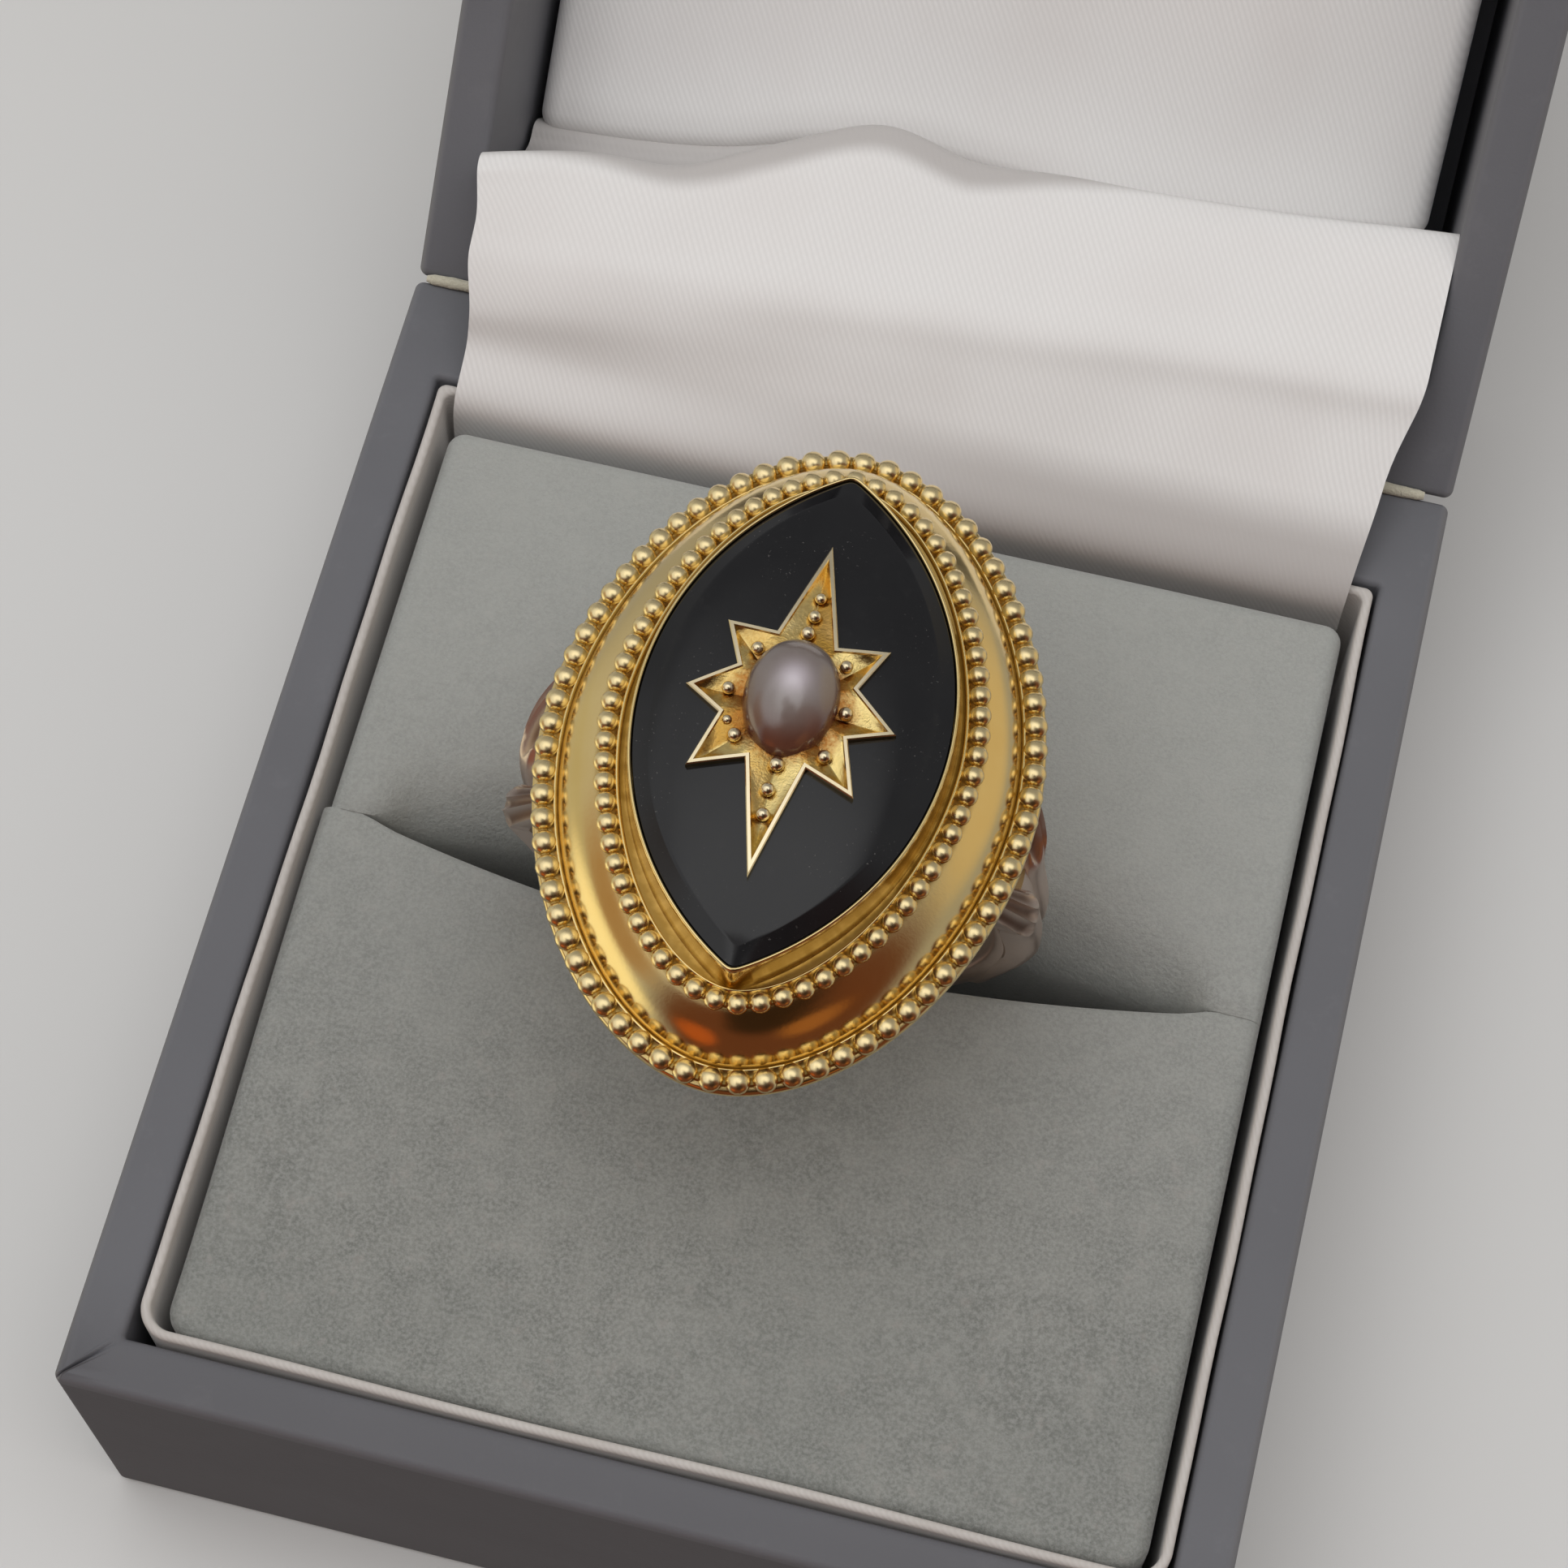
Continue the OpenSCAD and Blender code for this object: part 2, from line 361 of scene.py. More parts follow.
# The collar
# A thin card frame covered in white satin, that stands loose just inside the walls and shows as a pale line
# round the pad. Its front corners are rounded, so a dark gap shows behind each.
satin = Finish("white_satin", Sheen_Weight=0.25, Sheen_Roughness=0.4, Specular_IOR_Level=0.4)
thread_pitch = 0.24
rib_way = np.array([0.88, 0.47, 0.88])
float_way = np.array([0.5, -0.35, 0.5])


def twill(finish, where):
    """Ribs of a fine satin twill, with short floats that break each rib up a little, from 0 to 1."""
    wander = finish.noise(1.5, 2, 0.5, where) * 1.4
    step = 2 * math.pi / (thread_pitch * mm)
    rib = finish.dot(where, rib_way * step) + wander
    float_ends = finish.dot(where, float_way * step) + wander
    return rib.wave() * (0.8 + 0.2 * float_ends.wave())


on_satin = satin.painted("cloth", vector=True)
satin_rib = twill(satin, on_satin)
satin_cloud = satin.noise(7, 2, 0.5, on_satin)
satin_fleck = satin.noise(0.4, 3, 0.6, on_satin)
satin_tone = satin.mix(satin_rib * (0.6 + 0.6 * satin_fleck), (0.79, 0.78, 0.77), (0.86, 0.85, 0.84))
satin.surface(
    Base_Color=satin.layers(satin_tone, (satin_cloud.above(0.45, 0.75) * 0.3, (0.76, 0.73, 0.715)),
                            # painted shade on the flap and on the cushion's near end
                            (satin.painted("handled"), (0.5, 0.475, 0.46))),
    Roughness=0.46 + 0.08 * satin_rib,
    Normal=satin.bump(satin_rib, 0.006),
)
edge_satin = Finish("collar_satin", Sheen_Weight=0.2, Roughness=0.55, Specular_IOR_Level=0.3)
edge_rib = twill(edge_satin, edge_satin.painted("cloth", vector=True))
edge_soil = edge_satin.noise(3, 3, 0.6).above(0.35, 0.75)
edge_tone = edge_satin.mix(edge_rib * 0.6, (0.56, 0.53, 0.5), (0.63, 0.6, 0.575))
edge_satin.surface(
    Base_Color=edge_satin.mix(edge_soil * 0.4, edge_tone, (0.48, 0.44, 0.41)),
    Normal=edge_satin.bump(edge_rib, 0.006),
)

collar_low, collar_high = span("collar")
card = 0.42
card_steps = 8
front_corner = 1.5
back_corner = 0.4
left_bow = 0.1
right_bow = 0.15
front_bow = 0.12


def collar_outline(inset):
    """The collar's outline: round front corners and nearly square back ones, and wavy as hand cut card is."""
    x0, x1 = collar_low[0] + inset, collar_high[0] - inset
    y0, y1 = collar_low[1] + inset, collar_high[1] - inset
    rounder = rounded_frame(x0, x1, y0, y1, front_corner - inset)
    squarer = rounded_frame(x0, x1, y0, y1, back_corner)
    back = np.clip((rounder[:, 1:] + 4) / 10, 0, 1)
    x, y = (rounder * (1 - back) + squarer * back).T
    side_wave = 0.03 * np.sin(y * 0.33 + 1) + 0.018 * np.sin(y * 0.8)
    x = x + np.where(x < 0, side_wave - left_bow, right_bow - side_wave)
    front_wave = 0.05 * np.sin(x * 0.27)
    y = y + (front_wave - front_bow) * (y < y0 + 3)
    return np.stack([x, y], 1)


card_top = collar_high[2] - card / 2
collar_rings = [level(collar_outline(0), collar_low[2]), level(collar_outline(0), card_top)]
for turn in np.linspace(0, math.pi, card_steps + 1)[1:-1]:
    over = collar_outline(card / 2 * (1 - math.cos(turn)))
    collar_rings.append(level(over, card_top + card / 2 * math.sin(turn)))
collar_rings += [level(collar_outline(card), card_top), level(collar_outline(card), collar_low[2])]
collar_skin = loft(collar_rings, joined=True)
make_piece("collar_cover", collar_skin, edge_satin, "base", "satin", ["collar"],
           cloth=[collar_skin[0] * mm])

# The pad
# Two halves of soft foam under grey velvet, with the slot that grips the ring between them. The front half
# stands a little proud with a crisp lip, and the back half sinks into the slot.
velvet = Finish("grey_velvet", Roughness=0.95, Sheen_Weight=0.35, Sheen_Roughness=0.45,
                Specular_IOR_Level=0.12)
pile_grain = velvet.noise(0.17, 3, 0.7)
pile_cloud = velvet.noise(1.6, 4, 0.6)
pile_mottle = velvet.noise(0.55, 3, 0.65).above(0.42, 0.8)
pile_blush = velvet.noise(0.8, 2, 0.6).above(0.6, 0.72)
pile_sweep = velvet.noise(14, 2, 0.5).above(0.4, 0.7)
# painted light: the back of the pad lighter, as light thrown down from the open lid's satin
pile_back = velvet.dot(velvet.place(), (0, 1, 0)).above(-0.019, 0.012)
pile = velvet.mix(pile_grain.above(0.32, 0.68), (0.182, 0.187, 0.173), (0.309, 0.314, 0.297))
velvet.surface(
    Base_Color=velvet.layers(
        pile, (pile_cloud.above(0.3, 0.75) * 0.45, (0.36, 0.362, 0.338)),
        (pile_mottle * 0.2, (0.2, 0.205, 0.19)), (pile_blush * 0.18, (0.36, 0.31, 0.29)),
        (pile_sweep * 0.25, (0.24, 0.25, 0.235)), (pile_back * 0.62, (0.44, 0.45, 0.43))),
    Normal=velvet.bump(pile_grain, 0.05, velvet.bump(pile_cloud, 0.09)),
)

# Where a value has one number for each half, -1 is the front half and 1 is the back half.
pad_left = -20.0
pad_right = 20.15
pad_front_gap = 0.3
pad_corner = {-1: 1.2, 1: 0.8}
pad_edge = 0.7
slot_y = 0.45
slot_half = 18.0
slot_open = 2.1
slot_edge = {-1: 0.45, 1: 2.6}
slot_end_edge = 0.01
slot_end_pinch = 0.06
lip_rise = 0.3
lip_width = 1.8
front_drop = 0.05
left_swell = 0.3
sink_depth = 2.6
sink_reach = 5.2
pad_wave = 0.05


def smooth(value, low, high):
    """0 below low and 1 above high, smoothly between."""
    share = np.clip((value - low) / (high - low), 0, 1)
    return share * share * (3 - 2 * share)


def stages(*counts):
    """Stations that pass 0 to 1, then 1 to 2 and so on, each stage in its own number of even steps."""
    return np.concatenate([stage + np.arange(1, count + 1) / count for stage, count in enumerate(counts)])


def folded(count, fold_low, fold_high):
    """Stations across a padded block: how far across its flat middle, and how far down over each edge."""
    over = stages(3, 6, 4)
    share = [np.linspace(0, 1, count)]
    fold = [np.zeros(count)]
    if fold_low:
        share.insert(0, np.zeros(len(over)))
        fold.insert(0, -over[::-1])
    if fold_high:
        share.append(np.ones(len(over)))
        fold.append(over)
    return np.concatenate(share), np.concatenate(fold)


def grid_faces(rows, columns):
    """The faces over a grid of points, and the points round its rim in order."""
    index = np.arange(rows * columns).reshape(rows, columns)
    quads = np.stack([index[:-1, :-1], index[:-1, 1:], index[1:, 1:], index[1:, :-1]], 2).reshape(-1, 4)
    rim = np.concatenate([index[0], index[1:, -1], index[-1, -2::-1], index[-2:0:-1, 0]])
    return [tuple(quad) for quad in quads.tolist()], rim.tolist()


def padded_block(low, high, corner, edge, across=70, along=46, slit=0, slit_edge=0.0):
    """A soft block as one grid, folded over its edges. Slit 1 or -1 cuts its high or low y side square."""
    share_x, fold_x = folded(across, True, True)
    share_y, fold_y = folded(along, slit != -1, slit != 1)
    cut = np.zeros(len(share_y))
    if slit:
        down = stages(5, 7)
        flat = np.zeros(len(down))
        if slit == 1:
            share_y = np.append(share_y, flat + 1)
            fold_y = np.append(fold_y, flat)
            cut = np.append(cut, down)
        else:
            share_y = np.append(flat, share_y)
            fold_y = np.append(flat, fold_y)
            cut = np.append(down[::-1], cut)
    share_x, share_y = np.meshgrid(share_x, share_y)
    fold_x, cut = np.meshgrid(fold_x, cut)
    fold_y = np.broadcast_to(fold_y[:, None], fold_x.shape)

    # a point goes out to the edge, bends down over it and runs down the side, also round a corner
    most = np.maximum(np.abs(fold_x), np.abs(fold_y))
    safe = np.maximum(most, 1e-9)
    turn = np.where(np.abs(fold_x) >= np.abs(fold_y), math.pi / 4 * np.abs(fold_y) / safe,
                    math.pi / 2 - math.pi / 4 * np.abs(fold_x) / safe)
    bend = np.clip(most - 1, 0, 1) * math.pi / 2
    out = np.clip(most, 0, 1) * (corner - edge) + edge * np.sin(bend)
    drop = edge * (1 - np.cos(bend)) + np.clip(most - 2, 0, 1) * (high[2] - low[2] - edge)
    near = low[1] + (slit_edge if slit == -1 else corner)
    far = high[1] - (slit_edge if slit == 1 else corner)
    x = low[0] + corner + share_x * (high[0] - low[0] - 2 * corner) + np.sign(fold_x) * np.cos(turn) * out
    y = near + share_y * (far - near) + np.sign(fold_y) * np.sin(turn) * out
    z = high[2] - drop

    # the cut side has a lip of its own, which fades out at the slot's ends
    lip = slit_edge * (1 - smooth(np.abs(x), slot_half - 1.5, slot_half + 0.2)) + slot_end_edge
    bend = np.clip(cut, 0, 1) * math.pi / 2
    y = y + slit * np.where(cut > 0, (slit_edge - lip) * np.clip(cut * 3, 0, 1) + lip * np.sin(bend), 0)
    z = z - lip * (1 - np.cos(bend)) * (z > low[2] + lip)
    z = z + (low[2] - z) * np.clip(cut - 1, 0, 1)
    faces, rim = grid_faces(*x.shape)
    return np.stack([x, y, z], 2).reshape(-1, 3), faces + [tuple(rim)[::-1]]


def pad_half(side, name, node):
    """One half of the pad: side is -1 for the front half and 1 for the back half."""
    low, high = span(node)
    low[0] = pad_left
    high[0] = pad_right
    low[1] -= pad_front_gap * (side < 0)
    points, faces = padded_block(low, high, pad_corner[side], pad_edge, slit=-side,
                                 slit_edge=slot_edge[side])
    x, y, z = points.T.copy()
    upper = smooth(z, low[2] + 3, high[2] - 1)
    openness = np.clip(1 - (x / slot_half) ** 2, 0, 1)
    cut_y = high[1] if side < 0 else low[1]
    depth = (high[1] - low[1]) * 0.45
    y = y + side * slot_open * openness * (1 - smooth(np.abs(y - cut_y), 0, depth))
    past_end = smooth(np.abs(x), slot_half - 0.5, slot_half + 0.5)
    y = y - side * slot_end_pinch * past_end * (np.abs(y - cut_y) < 0.3)
    away = np.abs(y - slot_y - side * slot_open * openness)
    if side < 0:
        z = z + upper * (lip_rise * np.exp(-(away / lip_width) ** 2) * openness - front_drop)
        x = x - left_swell * (x < -10) * smooth(y, -20, -1)
    else:
        z = z - upper * sink_depth * openness ** 0.7 * (1 - smooth(away, -0.5, sink_reach)) ** 1.4
    z = z + upper * pad_wave * (np.sin(x * 0.31 + 1) * np.sin(y * 0.27) + 0.6 * np.sin(x * 0.13 + y * 0.21))
    made = make_piece(name, (np.stack([x, y, z], 1), faces), velvet, "base", "velvet", [node], sharp=70)
    return made


pad_half(-1, "pad_front_velvet", "pad_front")
pad_half(1, "pad_back_velvet", "pad_back")

# The ring's hoop and shoulders
# A plain half round hoop of rose gold, dulled by wear. It forks at each shoulder into a front and a back arm,
# which are carved with short flutes like a shell and soldered to the underside of the bezel.
ring_centre = (-0.06, 0.62, 21.1)
ring_turn = math.radians(1.2)
ring_place = (Matrix.Translation([c * mm for c in ring_centre]) @ Matrix.Rotation(ring_turn, 4, "Z")
              @ Matrix.Rotation(-ring_turn, 4, "X"))

rose_gold = Finish("dull_rose_gold", Metallic=1.0)
rose_cloud = rose_gold.noise(1.2, 4, 0.6)
rose_scratch = rose_gold.noise(0.25, 3, 0.7)
# darker in the flutes' hollows
rose_grime = rose_gold.painted("grime")
rose = rose_gold.mix(rose_cloud, (0.62, 0.5, 0.44), (0.74, 0.62, 0.55))
rose = rose_gold.mix(rose_grime, rose, (0.2, 0.12, 0.085))
rose_gold.surface(
    Base_Color=rose,
    Roughness=0.27 + 0.14 * rose_cloud + 0.2 * rose_grime,
    Normal=rose_gold.bump(rose_scratch, 0.006),
)

finger_r = 8.75
hoop_t = 1.3
hoop_w = 2.4
hoop_thickening = 0.25
hoop_widening = 0.7
hoop_end = 22
hoop_steps = 90


def curve(keys, steps, closed=False):
    """A smooth line through key points, with an even number of steps between each two."""
    keys = np.asarray(keys, float)
    before = np.vstack([keys[-1:] if closed else 2 * keys[:1] - keys[1:2], keys[:-1]])
    after = np.vstack([keys[1:], keys[:1] if closed else 2 * keys[-1:] - keys[-2:-1]])
    points = []
    for i in range(len(keys) - (0 if closed else 1)):
        j = (i + 1) % len(keys)
        a, b, c, d = before[i], keys[i], keys[j], after[j]
        for t in np.arange(steps) / steps:
            points.append(0.5 * (2 * b + (c - a) * t + (2 * a - 5 * b + 4 * c - d) * t ** 2
                                 + (3 * b - a - 3 * c + d) * t ** 3))
    if not closed:
        points.append(keys[-1])
    return np.array(points)


def gathered(skins):
    """One skin from several, which stay separate shells."""
    points, faces = [], []
    start = 0
    for skin, quads in skins:
        points.append(skin)
        faces += [tuple(i + start for i in quad) for quad in quads]
        start += len(skin)
    return np.concatenate(points), faces


def hoop_section(width, thick):
    """The hoop's section as (outwards, along the finger): flat inside with soft edges and round outside."""
    bottom = [[0, -0.36], [0, 0], [0, 0.36], [0.06, 0.46]]
    sides = [[0.3, 0.5], [0.62, 0.45], [0.85, 0.33], [0.97, 0.17], [1, 0]]
    keys = bottom + sides + [[out, -along] for out, along in sides[-2::-1]] + [[0.06, -0.46]]
    return curve(keys, 2, closed=True) * [thick, width]


hoop_rings = []
for turn in np.linspace(math.radians(-180 - hoop_end), math.radians(hoop_end), hoop_steps):
    rise = smooth(math.sin(turn), -0.8, 0.3)
    section = hoop_section(hoop_w + hoop_widening * rise, hoop_t + hoop_thickening * rise)
    out = finger_r + section[:, 0]
    hoop_rings.append(np.stack([out * math.cos(turn), section[:, 1], out * math.sin(turn)], 1))
ring_skins = [loft(hoop_rings)]
ring_grime = [np.zeros(hoop_steps * len(section))]

# columns: height above the hoop's centre, how far out, inner edge, outer edge, thickness
arm_keys = [
    [-5.0, 8.9, 0.0, 1.2, 1.25],
    [-2.0, 10.25, 0.0, 1.4, 1.45],
    [1.0, 10.95, 0.0, 1.75, 1.6],
    [3.4, 11.15, 0.3, 2.25, 1.6],
    [4.6, 11.0, 0.85, 2.65, 1.5],
    [6.2, 10.45, 1.5, 3.1, 1.35],
    [8.0, 9.5, 2.1, 3.45, 1.2],
    [9.9, 8.2, 2.5, 3.7, 1.1],
]
# how far each arm's upper part leans in, by its side of the finger and its end of the bezel
arm_lean = {(-1, -1): -0.2, (-1, 1): -0.2, (1, -1): 0.75, (1, 1): 1.0}
arm_rounding = 0.5
arm_back_rounding = 0.25
arm_steps = 36
arm_back_steps = 7
flute_count = 3
flute_depth = 0.34
flute_start = 5.0
flute_stagger = 0.5
flute_runout = 1.1
flute_crowding = 2.1
across = np.linspace(0, 1, arm_steps + 1)
back_across = np.linspace(1, 0, arm_back_steps + 1)
for side, end in arm_lean:
    arm_rings = []
    for height, out, inner, outer, thick in curve(arm_keys, 8):
        out -= arm_lean[side, end] * smooth(height, -1, 3.4)
        carved = np.zeros(len(across))
        for flute in range(flute_count):
            off = (across - (flute + 0.5) / flute_count) * flute_count * flute_crowding
            down = max(0.0, (flute_start - flute_stagger * flute - height) / flute_runout)
            carved = np.maximum(carved, np.sqrt(np.clip(1 - off ** 2 - down ** 2, 0, 1)))
        face = out - arm_rounding * np.abs(2 * across - 1) ** 3.2 - flute_depth * carved
        back = out - thick + arm_back_rounding * np.abs(2 * back_across - 1) ** 4
        ring_x = np.concatenate([face, back])
        ring_y = inner + np.concatenate([across, back_across]) * (outer - inner)
        arm_rings.append(np.stack([side * ring_x, end * ring_y, np.full(len(ring_x), height)], 1))
        ring_grime.append(np.concatenate([carved ** 2, np.zeros(len(back))]))
    ring_skins.append(loft(arm_rings))
make_piece("hoop_and_shoulders", gathered(ring_skins), rose_gold, "base", "rose_gold", ["gold_mount"],
           ring_place, sharp=50, grime=ring_grime)

# The bezel
# A raised oval frame of yellow gold, pressed and soldered up: a thin flange, a broad polished band, a fine
# wire, and an upright collet whose thin lip is rubbed over the stone. Old polish and dirt darken its grooves.
head_z = 10.4
outer_a = 9.3
outer_b = 13.3
outer_roundness = 1.87
inner_a = 6.98
inner_b = 11.16
inner_roundness = 1.78
inner_h = 2.45
inner_shift = 0.09
lip_a = 6.0
lip_b = 10.5
lip_shift = 0.12
lip_tip_growth = 1.3
tip_softening = 2
band_w = 2.3
outline_points = 288


def even(points, count):
    """A closed line's points, spaced evenly along it."""
    closed = np.vstack([points, points[:1]])
    run = np.concatenate([[0], np.cumsum(np.linalg.norm(np.diff(closed, axis=0), axis=1))])
    at = np.linspace(0, run[-1], count + 1)[:-1]
    return np.stack([np.interp(at, run, closed[:, i]) for i in range(closed.shape[1])], 1)


def oval(half_w, half_l, roundness, shift=0.0):
    """An oval fuller or leaner than an ellipse, from its far end."""
    turn = full_turn(4000)
    x = -np.sign(np.sin(turn)) * np.abs(np.sin(turn)) ** (2 / roundness)
    y = np.sign(np.cos(turn)) * np.abs(np.cos(turn)) ** (2 / roundness)
    return even(np.stack([half_w * x, half_l * y], 1), outline_points) + [shift, 0]


def marquise(grow):
    """The lip's line, grown or shrunk a little: two equal arcs that meet at each end, from the far one."""
    half_w = lip_a + grow
    half_l = lip_b + lip_tip_growth * grow
    radius = (half_w ** 2 + half_l ** 2) / (2 * half_w)
    reach = math.asin(half_l / radius)
    turn = np.linspace(reach, -reach, 1000, endpoint=False)
    left = np.stack([radius - half_w - radius * np.cos(turn), radius * np.sin(turn)], 1)
    line = even(np.vstack([left, -left]), outline_points)
    for _ in range(tip_softening):
        line = (np.roll(line, 1, 0) + line + np.roll(line, -1, 0)) / 3
    return line + [lip_shift, 0]


gold = Finish("polished_yellow_gold", Metallic=1.0)
gold_cloud = gold.noise(1.6, 3, 0.6)
gold_scratch = gold.noise(0.18, 4, 0.7)
# real dirt in the bezel's grooves, and painted shade on the beads' lower halves and necks
gold_dirt = (gold.painted("grime") * (0.55 + 0.9 * gold.noise(0.5, 3, 0.6))).above(0.15, 0.9)
# bead tops painted paler: partly wear, partly painted highlight
gold_worn = gold.painted("worn")
gold_tone = gold.mix(gold_cloud, (0.87, 0.65, 0.28), (0.93, 0.74, 0.37))
gold.surface(
    Base_Color=gold.layers(gold_tone, (gold_dirt * 0.9, (0.42, 0.27, 0.075)),
                           (gold_worn, (0.95, 0.77, 0.42))),
    Roughness=0.13 + 0.08 * gold_cloud + 0.25 * gold_dirt + 0.1 * gold_worn,
    Normal=gold.bump(gold_scratch, 0.0035),
)

bezel_rings, bezel_grime = [], []


def add_to_bezel(outline, height, dirt):
    """Adds the next ring of the bezel's skin, at a height above the outer beads, with its dirt."""
    bezel_rings.append(level(outline, head_z + height))
    bezel_grime.append(np.full(len(outline), min(max(dirt, 0), 1)))


# columns: height above the outer beads, inset from them, dirt
flange_run = [
    [-0.85, 1.2, 0], [-0.85, 0.2, 0], [-0.8, -0.15, 0.2], [-0.62, -0.36, 0.1], [-0.42, -0.44, 0],
    [-0.26, -0.42, 0], [-0.14, -0.32, 0.4], [-0.06, 0.0, 0.9], [-0.02, 0.24, 0.9], [0.06, 0.36, 0.5],
    [0.11, 0.41, 0], [0.12, 0.46, 0], [0.08, 0.5, 0.3], [0.02, 0.55, 0.8],
]
band_run = [
    [0.02, 0.55, 0.8], [0.12, 0.58, 0.5], [0.35, 0.66, 0], [0.8, 0.81, 0], [1.25, 1.04, 0],
    [1.65, 1.34, 0], [1.96, 1.66, 0], [2.16, 1.9, 0.2], [2.3, 2.1, 0.7],
]
for run in (flange_run, band_run):
    for height, inset, dirt in curve(run, 4):
        share = min(max(inset, 0) / band_w, 1)
        roundness = outer_roundness * (1 - share) + inner_roundness * share
        ring = oval(outer_a - inset, outer_b - inset * 0.94, roundness, inner_shift * share)
        add_to_bezel(ring, height, dirt)

# columns: height above the outer beads, inset from the inner beads, dirt
wire_run = [
    [2.32, -0.1, 0.8], [2.4, 0.2, 0.8], [2.5, 0.34, 0.8], [2.6, 0.41, 0.3], [2.68, 0.47, 0],
    [2.66, 0.54, 0], [2.54, 0.58, 0.5], [2.42, 0.61, 1],
]
for height, inset, dirt in curve(wire_run, 3):
    add_to_bezel(oval(inner_a - inset, inner_b - inset * 0.9, inner_roundness, inner_shift), height, dirt)

# columns: height above the outer beads, how far outside the lip's line, dirt
collet_run = [
    [2.36, 0.2, 0.6], [2.46, 0.13, 0.4], [2.7, 0.1, 0.2], [3.1, 0.08, 0.15], [3.6, 0.07, 0.1],
    [3.88, 0.07, 0], [3.95, 0.045, 0], [3.97, 0.0, 0], [3.95, -0.045, 0], [3.88, -0.07, 0.3],
    [3.6, -0.075, 1], [3.0, -0.075, 1],
]
for height, out, dirt in collet_run:
    add_to_bezel(marquise(out), height, dirt)
make_piece("bezel_band", loft(bezel_rings), gold, "base", "yellow_gold", ["gold_mount"], ring_place,
           sharp=60, grime=bezel_grime)

# The two rows of beads
# Beaded wire, rolled with round beads and narrow necks, bent to each oval and soldered on. Wear has flattened
# the beads a little on top. The outer row is the coarser one.
bead_rises = np.linspace(-math.pi / 2, math.pi / 2, 11)[1:-1]
bead_around = 16
bead_top = 0.78
neck_around = 8
neck_drop = 0.12


def ball(centre, radius, rises, around, top=1.0, foot=1.0):
    """The skin of a bead or grain whose top and foot are a share of its radius high."""
    x, y, z = centre
    turn = full_turn(around)
    rings = []
    for rise in rises:
        wide = radius * math.cos(rise)
        up = radius * math.sin(rise) * (top if rise > 0 else foot)
        rings.append(np.stack([wide * np.cos(turn) + x, wide * np.sin(turn) + y, np.full(around, up + z)], 1))
    return loft(rings)


def bead_row(name, line, height, count, radius, neck):
    """Beads spaced evenly along a closed line, and a thin wire through them that makes their necks."""
    skins, dirt, worn = [], [], []
    for x, y in even(line, count):
        skins.append(ball((x, y, height), radius, bead_rises, bead_around, top=bead_top))
        low = np.clip((height - skins[-1][0][:, 2]) / radius, -1, 1)
        # painted shade on each bead's lower half
        dirt.append(smooth(low, -0.3, 0.4))
        # paler top of each bead: partly wear, partly painted highlight
        worn.append(smooth(-low, 0, 0.6))
    path = even(line, count * 4)
    ahead = np.roll(path, -1, 0) - np.roll(path, 1, 0)
    side = np.stack([ahead[:, 1], -ahead[:, 0]], 1) / np.linalg.norm(ahead, axis=1)[:, None]
    rings = []
    for turn in full_turn(neck_around):
        up = height - neck_drop + neck * math.sin(turn)
        rings.append(level(path + side * neck * math.cos(turn), up))
    skins.append(loft(rings, joined=True))
    # painted shade on the necks between the beads
    dirt.append(np.ones(len(skins[-1][0])))
    worn.append(np.zeros(len(skins[-1][0])))
    make_piece(name, gathered(skins), gold, "base", "yellow_gold", ["gold_mount"], ring_place,
               grime=dirt, worn=worn)


outer_line = oval(outer_a, outer_b, outer_roundness)
inner_line = oval(inner_a, inner_b, inner_roundness, inner_shift)
bead_row("outer_beads", outer_line, head_z, count=70, radius=0.49, neck=0.2)
bead_row("inner_beads", inner_line, head_z + inner_h, count=67, radius=0.425, neck=0.17)

# The onyx
# A black marquise cut from one stone, with a narrow bevel and a low polished dome, a little dusty and rubbed.
# It is set with its edge just under the collet's lip.
black_onyx = Finish("black_onyx", IOR=1.54, Specular_IOR_Level=0.38)
onyx_cloud = black_onyx.noise(2.5, 3, 0.6)
onyx_rub = black_onyx.noise(0.6, 4, 0.7).above(0.55, 0.75)
onyx_dust = black_onyx.noise(0.12, 2, 0.5).above(0.68, 0.76) * black_onyx.noise(3, 2, 0.5).above(0.45, 0.65)
onyx_tone = black_onyx.mix(onyx_cloud, (0.006, 0.006, 0.007), (0.012, 0.012, 0.013))
black_onyx.surface(
    Base_Color=black_onyx.mix(onyx_dust * 0.4 + onyx_rub * 0.015, onyx_tone, (0.2, 0.19, 0.18)),
    Roughness=0.07 + 0.05 * onyx_cloud + 0.2 * onyx_dust + 0.06 * onyx_rub,
)

crown_h = 4.68
dome_a = 5.3
dome_b = 9.65
dome_drop = 0.35
shoulder_drop = 0.25
onyx_foot_h = 0.65
onyx_edge_h = 3.86
onyx_edge_bevel = 0.05
onyx_in_lip = 0.1


def crown(x, y):
    """Height of the onyx's dome above the hoop's centre."""
    away = ((x - lip_shift) / dome_a) ** 2 + (y / dome_b) ** 2
    return head_z + crown_h - dome_drop * away - shoulder_drop * away ** 4


onyx_edge = marquise(-onyx_in_lip)
bevel_line = marquise(dome_a - lip_a)
edge_z = head_z + onyx_edge_h
onyx_rings = [level(onyx_edge, head_z + onyx_foot_h), level(onyx_edge, edge_z - onyx_edge_bevel)]
for share in (0.04, 0.3, 0.6, 0.93, 1.0):
    ring = onyx_edge * (1 - share) + bevel_line * share
    onyx_rings.append(level(ring, edge_z * (1 - share) + crown(*bevel_line.T) * share))
for share in (0.985, 0.95, 0.9, 0.85, 0.78, 0.7, 0.62, 0.54, 0.46, 0.38, 0.3, 0.22, 0.14, 0.06):
    ring = (bevel_line - [lip_shift, 0]) * share + [lip_shift, 0]
    onyx_rings.append(level(ring, crown(*ring.T)))
make_piece("onyx_stone", loft(onyx_rings), black_onyx, "base", "onyx", ["onyx"], ring_place, sharp=30)

